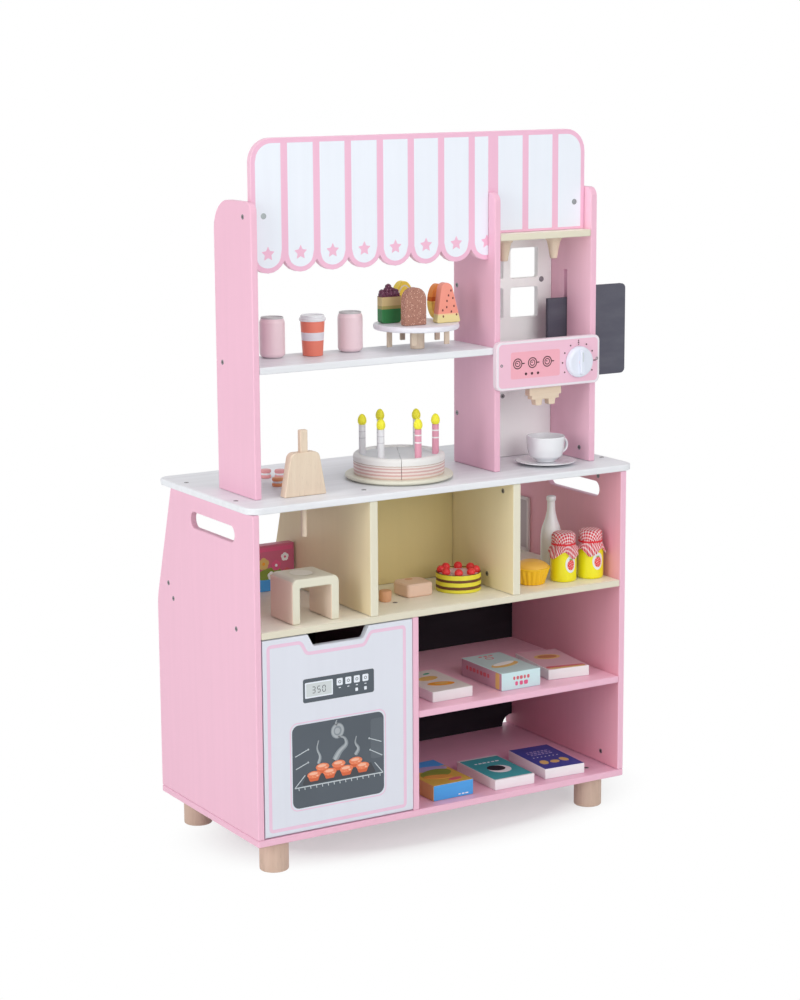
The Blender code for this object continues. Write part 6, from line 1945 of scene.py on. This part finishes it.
@dataclass
class JamJars:
    """The two jam jars: yellow body, oval label, checked cloth cover and its red band."""

    radius: float = 0.0190
    body: float = 0.0450
    cap_radius: float = 0.0165
    height: float = 0.0700
    skirt: float = 0.0090
    corner_drop: float = 0.0105
    corner_lead: float = 22.0
    flare: float = 0.0036
    ripples: float = 14.0
    ripple_depth: float = 0.0007
    pleats: float = 18.0
    pleat_depth: float = 0.018
    label: Point = (0.0086, 0.0125)
    label_height: float = 0.0262
    seeds: int = 16
    seed_spacing: float = 0.0013
    seed_turn: float = 2.4
    turns: tuple[tuple[str, float], ...] = (("jam_jar_left", -10.0), ("jam_jar_right", 37.0))

    def build(self) -> None:
        """Make both jars."""
        r, shoulder = self.radius, self.body + 0.006
        profile = [
            (0.0, 0.0), (0.93 * r, 0.0), (r, 0.0025), (r, self.body), (0.80 * r, shoulder), (0.0, shoulder),
        ]
        for node, turn in self.turns:
            add_turned(f"{node}_body", node, lathe(profile, 72, 0.0020), JAM, "toy_yellow")
            self.make_label(node)
            self.make_cover(node, turn)

    def make_label(self, node: str) -> None:
        """Print the white oval and its berry round the front of a jar."""
        middle = self.label_height - 0.0012
        dots = []
        for number in range(self.seeds):
            reach, turn = self.seed_spacing * math.sqrt(number), self.seed_turn * number
            x, z = reach * math.cos(turn), 1.25 * reach * math.sin(turn)
            dots.append(self.wrapped(oval(0.00070, 0.00080, 8), x, middle + z, 3))
        layers = (
            ("paper", [self.wrapped(oval(*self.label, 40), 0.0, self.label_height, 1)], CHINA),
            ("berry", [self.wrapped(oval(0.0056, 0.0076, 28), 0.0, middle, 2)], BERRY),
            ("seeds", dots, BERRY_SEED),
            ("leaf", [self.wrapped(oval(0.0030, 0.0012, 12), 0.0, middle + 0.0080, 3)], LEAF),
        )
        for name, shapes, finish in layers:
            add_print(f"{node}_label_{name}", moved(joined(shapes), *foot_of(node)), finish, node, "toy_white")

    def wrapped(self, shape: BMesh, x: float, z: float, level: int) -> BMesh:
        """Bend a flat shape round the front of the jar, as one layer of print."""
        bmesh.ops.triangulate(shape, faces=shape.faces[:])
        bmesh.ops.subdivide_edges(shape, edges=shape.edges[:], cuts=3, use_grid_fill=True)
        for vert in moved(raised(shape, level), x, 0.0, z).verts:
            reach = self.radius - vert.co.y
            angle = vert.co.x / self.radius
            vert.co.x, vert.co.y = reach * math.sin(angle), -reach * math.cos(angle)
        return shape

    def make_cover(self, node: str, turn: float) -> None:
        """Drape the checked cloth over a jar's cap and tie its band."""
        cap, top, tie = self.cap_radius, self.height, self.body + 0.0085
        path = [
            (0.0, top), (cap * 0.80, top - 0.0002), (cap, top - 0.0035), (cap * 1.01, tie + 0.004),
            (cap * 0.97, tie + 0.001), (cap * 0.97, tie - 0.001), (self.radius * 1.06, tie - 0.0058),
            (self.radius * 1.10, tie - self.skirt),
        ]
        cloth = self.draped(curved(path, 0.0030, 5), tie, turn)
        cover = add_piece(f"{node}_cover", moved(cloth, *foot_of(node)), GINGHAM, node, "toy_coral", smooth=60.0)
        wall = cover.modifiers.new("cloth_thickness", "SOLIDIFY")
        wall.thickness = 0.0004
        wall.offset = 1.0
        shares = ((0.99, -0.0012), (1.06, -0.0008), (1.07, 0.0006), (1.03, 0.0016), (0.99, 0.0014), (0.99, -0.0012))
        band = lathe([(cap * share, tie + up) for share, up in shares], 72)
        add_turned(f"{node}_band", node, band, RIBBON, "toy_coral", replaced=False)

    def draped(self, line: Sequence[Point], tie: float, turn: float) -> BMesh:
        """Return the cloth: spun, rippled, with hanging corners and a UV map in centimetres.

        Args:
            line: the cloth's profile, from its middle to its hem.
            tie: the height of the band.
            turn: the turn of the cloth's corners, in degrees.

        Returns:
            The open surface.
        """
        cloth = lathe(line, 144)
        lengths = [0.0]
        for before, after in zip(line, line[1:]):
            lengths.append(lengths[-1] + math.dist(before, after))
        uv = cloth.loops.layers.uv.new("cloth")
        tied = next(number for number, point in enumerate(line) if point[1] < tie - 0.0008)
        total = lengths[-1] - lengths[tied]
        for vert in cloth.verts:
            point = (math.hypot(vert.co.x, vert.co.y), vert.co.z)
            number = min(range(len(line)), key=lambda item: math.dist(line[item], point))
            angle = math.atan2(vert.co.y, vert.co.x)
            for loop in vert.link_loops:
                loop[uv].uv = spot_on_ring(lengths[number] * 100.0, math.degrees(angle) - turn)
            share = max(0.0, lengths[number] - lengths[tied]) / total
            corner = abs(math.cos(2.0 * (angle - math.radians(turn + self.corner_lead)))) ** 1.5
            ripple = math.cos(self.ripples * angle) * self.ripple_depth * share
            vert.co.xy *= 1.0 + (ripple + self.flare * 0.35 * corner * share * share) / max(point[0], 0.004)
            vert.co.z -= self.corner_drop * corner * share - 0.0006 * share * math.sin(9.0 * angle)
            if number <= tied and point[0] > self.cap_radius * 0.9:
                vert.co.xy *= 1.0 + self.pleat_depth * math.cos(self.pleats * angle + vert.co.z * 900.0)
        bmesh.ops.recalc_face_normals(cloth, faces=cloth.faces)
        return cloth


# Card boxes, with lengths in millimetres


MM = 0.001
card_ink = partial(Painted, roughness=0.45)


class CardPaint(Enum):
    """The inks of the card boxes."""

    SNOW = Painted("card_white_ink", (0.90, 0.90, 0.91), roughness=0.5)
    ORANGE = card_ink("card_orange_ink", (0.88, 0.37, 0.035), clouding=0.2)
    GREEN = card_ink("card_green_ink", (0.055, 0.36, 0.22))
    CORAL = card_ink("card_coral_ink", (0.66, 0.14, 0.17))
    HONEY = card_ink("card_honey_ink", (0.78, 0.50, 0.16), clouding=0.2)
    BROWN = card_ink("card_brown_ink", (0.55, 0.22, 0.095), clouding=0.2)
    SKY = card_ink("card_sky_ink", (0.075, 0.36, 0.80), clouding=0.1)
    AMBER = card_ink("card_amber_ink", (0.72, 0.36, 0.075), clouding=0.2)
    OLIVE = card_ink("card_olive_ink", (0.24, 0.32, 0.050), clouding=0.2)
    INK = card_ink("card_dark_ink", (0.020, 0.022, 0.030))
    SAND = card_ink("card_sand_ink", (0.76, 0.52, 0.18))
    MAUVE = card_ink("card_mauve_ink", (0.42, 0.36, 0.60))
    ROSE = card_ink("card_rose_ink", (0.75, 0.12, 0.26), clouding=0.2)
    PALE_PINK = card_ink("card_pale_pink", (0.58, 0.33, 0.42), clouding=0.1)
    TEAL = Painted("card_teal_ink", (0.055, 0.39, 0.42), clouding=0.1)


class Side(Enum):
    """The face of a card box that a print is on."""

    TOP = "top"
    FRONT = "front"
    LEFT = "left"


@dataclass(frozen=True)
class Mark:
    """A printed oval, or oblong where it has a corner radius, about a middle measured from the box's corner."""

    side: Side
    x: float
    y: float
    wide: float
    tall: float
    paint: CardPaint
    turn: float = 0.0
    radius: float | None = None
    level: int = 1
    hole: float = 0.0


top, front, left = (partial(Mark, side) for side in Side)


@dataclass(frozen=True)
class CardBox:
    """One card box: its front left corner, its thickness, its turn, its finish and its prints."""

    name: str
    x: float
    y: float
    thick: float
    turn: float
    finish: Finish
    marks: tuple[Mark, ...]

    def build(self) -> None:
        """Paint and print the box, one piece for each ink."""
        node = f"card_box_{self.name}"
        paint_node(node, self.finish)
        groups: dict[CardPaint, list[BMesh]] = {}
        for mark in self.marks:
            groups.setdefault(mark.paint, []).append(self.printed(mark))
        for paint, shapes in groups.items():
            shape = turned(joined(shapes), self.turn, "Z")
            moved(shape, *at(MM * self.x, MM * self.y, own(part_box(node)[0]).z))
            add_print(f"{node}_{paint.value.name}", shape, paint.value, node, "card")

    def printed(self, mark: Mark) -> BMesh:
        """Return a mark's shape in metres, in its place on the box."""
        x, y, wide, tall = (MM * size for size in (mark.x, mark.y, mark.wide, mark.tall))
        shape = oval(wide / 2, tall / 2, 28) if mark.radius is None else oblong(wide, tall, MM * mark.radius, 4)
        if mark.hole:
            rim(shape, MM * mark.hole)
        raised(turned(shape, mark.turn, "Y"), mark.level)
        if mark.side is Side.TOP:
            return moved(lying(shape), x, y, MM * self.thick)
        if mark.side is Side.LEFT:
            return moved(turned(shape, -90.0, "Z"), 0.0, -x, y)
        return moved(shape, x, 0.0, y)


def paper(name: str, face: Colour, side: Colour) -> FacedBoard:
    """Return a box's finish: one colour on its top, another on its sides."""
    return FacedBoard(name, face, streak=0.0, edge=side, axis=2, side=1, bump=0.05)


def dashes(
    face: Callable[..., Mark], x: float, y: float, wide: float, count: int, paint: CardPaint, tall: float
) -> list[Mark]:
    """Return a row of short bars of different lengths on a face."""
    step = wide / count
    lengths = [step * (0.55 + 0.25 * ((number * 7) % 3) / 2) for number in range(count)]
    return [
        face(x + step * (number + 0.5), y, length, tall, paint, radius=tall * 0.3, level=3)
        for number, length in enumerate(lengths)
    ]


def flower(x: float, y: float, size: float, petal: CardPaint, core: CardPaint) -> list[Mark]:
    """Return a plain flower of five petals for a box's front."""
    marks = []
    for number in range(5):
        angle = 90.0 + 72.0 * number
        right, up = spot_on_ring(0.62 * size, angle)
        marks.append(front(x + right, y + up, size, size * 0.8, petal, 90.0 - angle, level=3 + number % 3))
    return [*marks, front(x, y, size * 0.55, size * 0.55, core, level=6)]


P = CardPaint
CARD_BOXES = (
    CardBox(
        "upper_left", 288.7, 24, 15, 0, paper("card_upper_left", (0.78, 0.72, 0.70), (0.86, 0.82, 0.84)),
        (
            top(35, 34, 40, 19, P.ORANGE, 14), top(33, 66, 33, 20, P.HONEY, -10),
            top(36, 35, 20, 8, P.HONEY, 14, level=2), top(17, 85, 12, 7, P.GREEN, 30),
            top(44, 88, 13, 6, P.GREEN, -20),
        ),
    ),
    CardBox(
        "upper_middle", 401.7, 21, 25.5, 0, paper("card_upper_middle", (0.55, 0.70, 0.72), (0.62, 0.82, 0.85)),
        (
            left(-52.5, 12.7, 104, 24.5, P.PALE_PINK, radius=0.6),
            left(-11, 12.7, 10, 23.5, P.HONEY, radius=3, level=2), *dashes(left, -94, 15, 64, 7, P.CORAL, 6),
            top(33, 42, 50, 22, P.HONEY, -12), top(34, 47, 40, 13, P.SNOW, -12, level=2),
            top(33, 82, 13, 13, P.CORAL, hole=1.6), *dashes(top, 20, 93, 26, 3, P.CORAL, 3),
            *dashes(front, 18, 16.5, 30, 5, P.CORAL, 5), *dashes(front, 21, 8.5, 24, 3, P.ROSE, 6),
        ),
    ),
    CardBox(
        "upper_right", 491.7, 35, 15, -7, paper("card_upper_right", (0.72, 0.45, 0.53), (0.86, 0.85, 0.86)),
        (
            top(33, 68, 40, 26, P.SAND, 8), top(33, 68, 30, 17, P.BROWN, 8, level=2),
            top(33, 10, 60, 11, P.CORAL, 6, radius=5), top(33, 5, 56, 5, P.SAND, 3, radius=2.4, level=2),
        ),
    ),
    CardBox(
        "lower_left", 285.7, 18, 22.5, 0, paper("card_lower_left", (0.62, 0.42, 0.075), (0.70, 0.42, 0.16)),
        (
            front(33, 11.25, 65.2, 21.8, P.SKY, radius=0.6), top(33, 90, 65, 29, P.SKY, radius=0.6),
            top(33, 70, 62, 22, P.MAUVE, 8, level=2), top(34, 48, 52, 33, P.OLIVE, -14, level=3),
            top(28, 33, 42, 18, P.AMBER, 18, level=4), top(45, 14, 22, 10, P.CORAL, -8, level=5),
            *dashes(front, 40, 4, 18, 3, P.SNOW, 1.6),
        ),
    ),
    CardBox(
        "lower_middle", 385.7, 13, 15, -1.5, paper("card_lower_middle", (0.74, 0.72, 0.72), (0.88, 0.82, 0.86)),
        (
            top(33, 51.5, 64, 96, P.TEAL, radius=1.5), top(35, 44, 34, 34, P.SNOW, level=2),
            top(32, 49, 27, 24, P.INK, 20, level=3), *dashes(top, 12, 78, 43, 6, P.SNOW, 3),
        ),
    ),
    CardBox(
        "lower_right", 475.2, 18, 15, -3.5, paper("card_lower_right", (0.046, 0.068, 0.34), (0.88, 0.85, 0.88)),
        (
            *dashes(top, 14, 80, 38, 6, P.MAUVE, 2.2), *dashes(top, 12, 73, 42, 7, P.MAUVE, 2.2),
            *dashes(top, 14, 66, 38, 6, P.MAUVE, 2.2), *(top(13 + 6.6 * i, 54, 2.4, 2.4, P.SNOW) for i in range(7)),
            top(16, 30, 13, 19, P.SAND, 15), top(33, 28, 15, 13, P.SAND, -20), top(50, 31, 12, 18, P.SAND, -8),
        ),
    ),
    CardBox(
        "standing", 68.5, 208, 66, 0, Painted("card_standing", (0.62, 0.14, 0.24), roughness=0.42, clouding=0.15),
        (
            front(52.5, 12, 104.8, 23.5, P.SKY, radius=1), front(52.5, 60, 100, 6, P.ROSE, radius=2),
            front(64, 25, 40, 16, P.OLIVE, -8, level=2), *flower(56, 40, 8.5, P.SAND, P.ORANGE),
            *flower(76, 36, 7.5, P.ROSE, P.SNOW), *flower(68, 22, 6, P.SNOW, P.SAND),
            *flower(90, 47, 6, P.SNOW, P.ROSE), *flower(42, 27, 7, P.SNOW, P.ORANGE),
            *flower(93, 25, 6, P.CORAL, P.SNOW), *flower(25, 44, 8, P.ROSE, P.SAND),
        ),
    ),
)


# Build


def main() -> None:
    """Build the studio and dress the stand."""
    dressed = (PaintedBoards, Feet, Fasteners, AwningPrint, OvenPrint, CoffeeBay, IcePops, Drinks, BirthdayCake, Bakery)
    for part in (Studio(), *(kind() for kind in dressed), JamJars(), *CARD_BOXES):
        part.build()


if __name__ == "__main__":
    main()
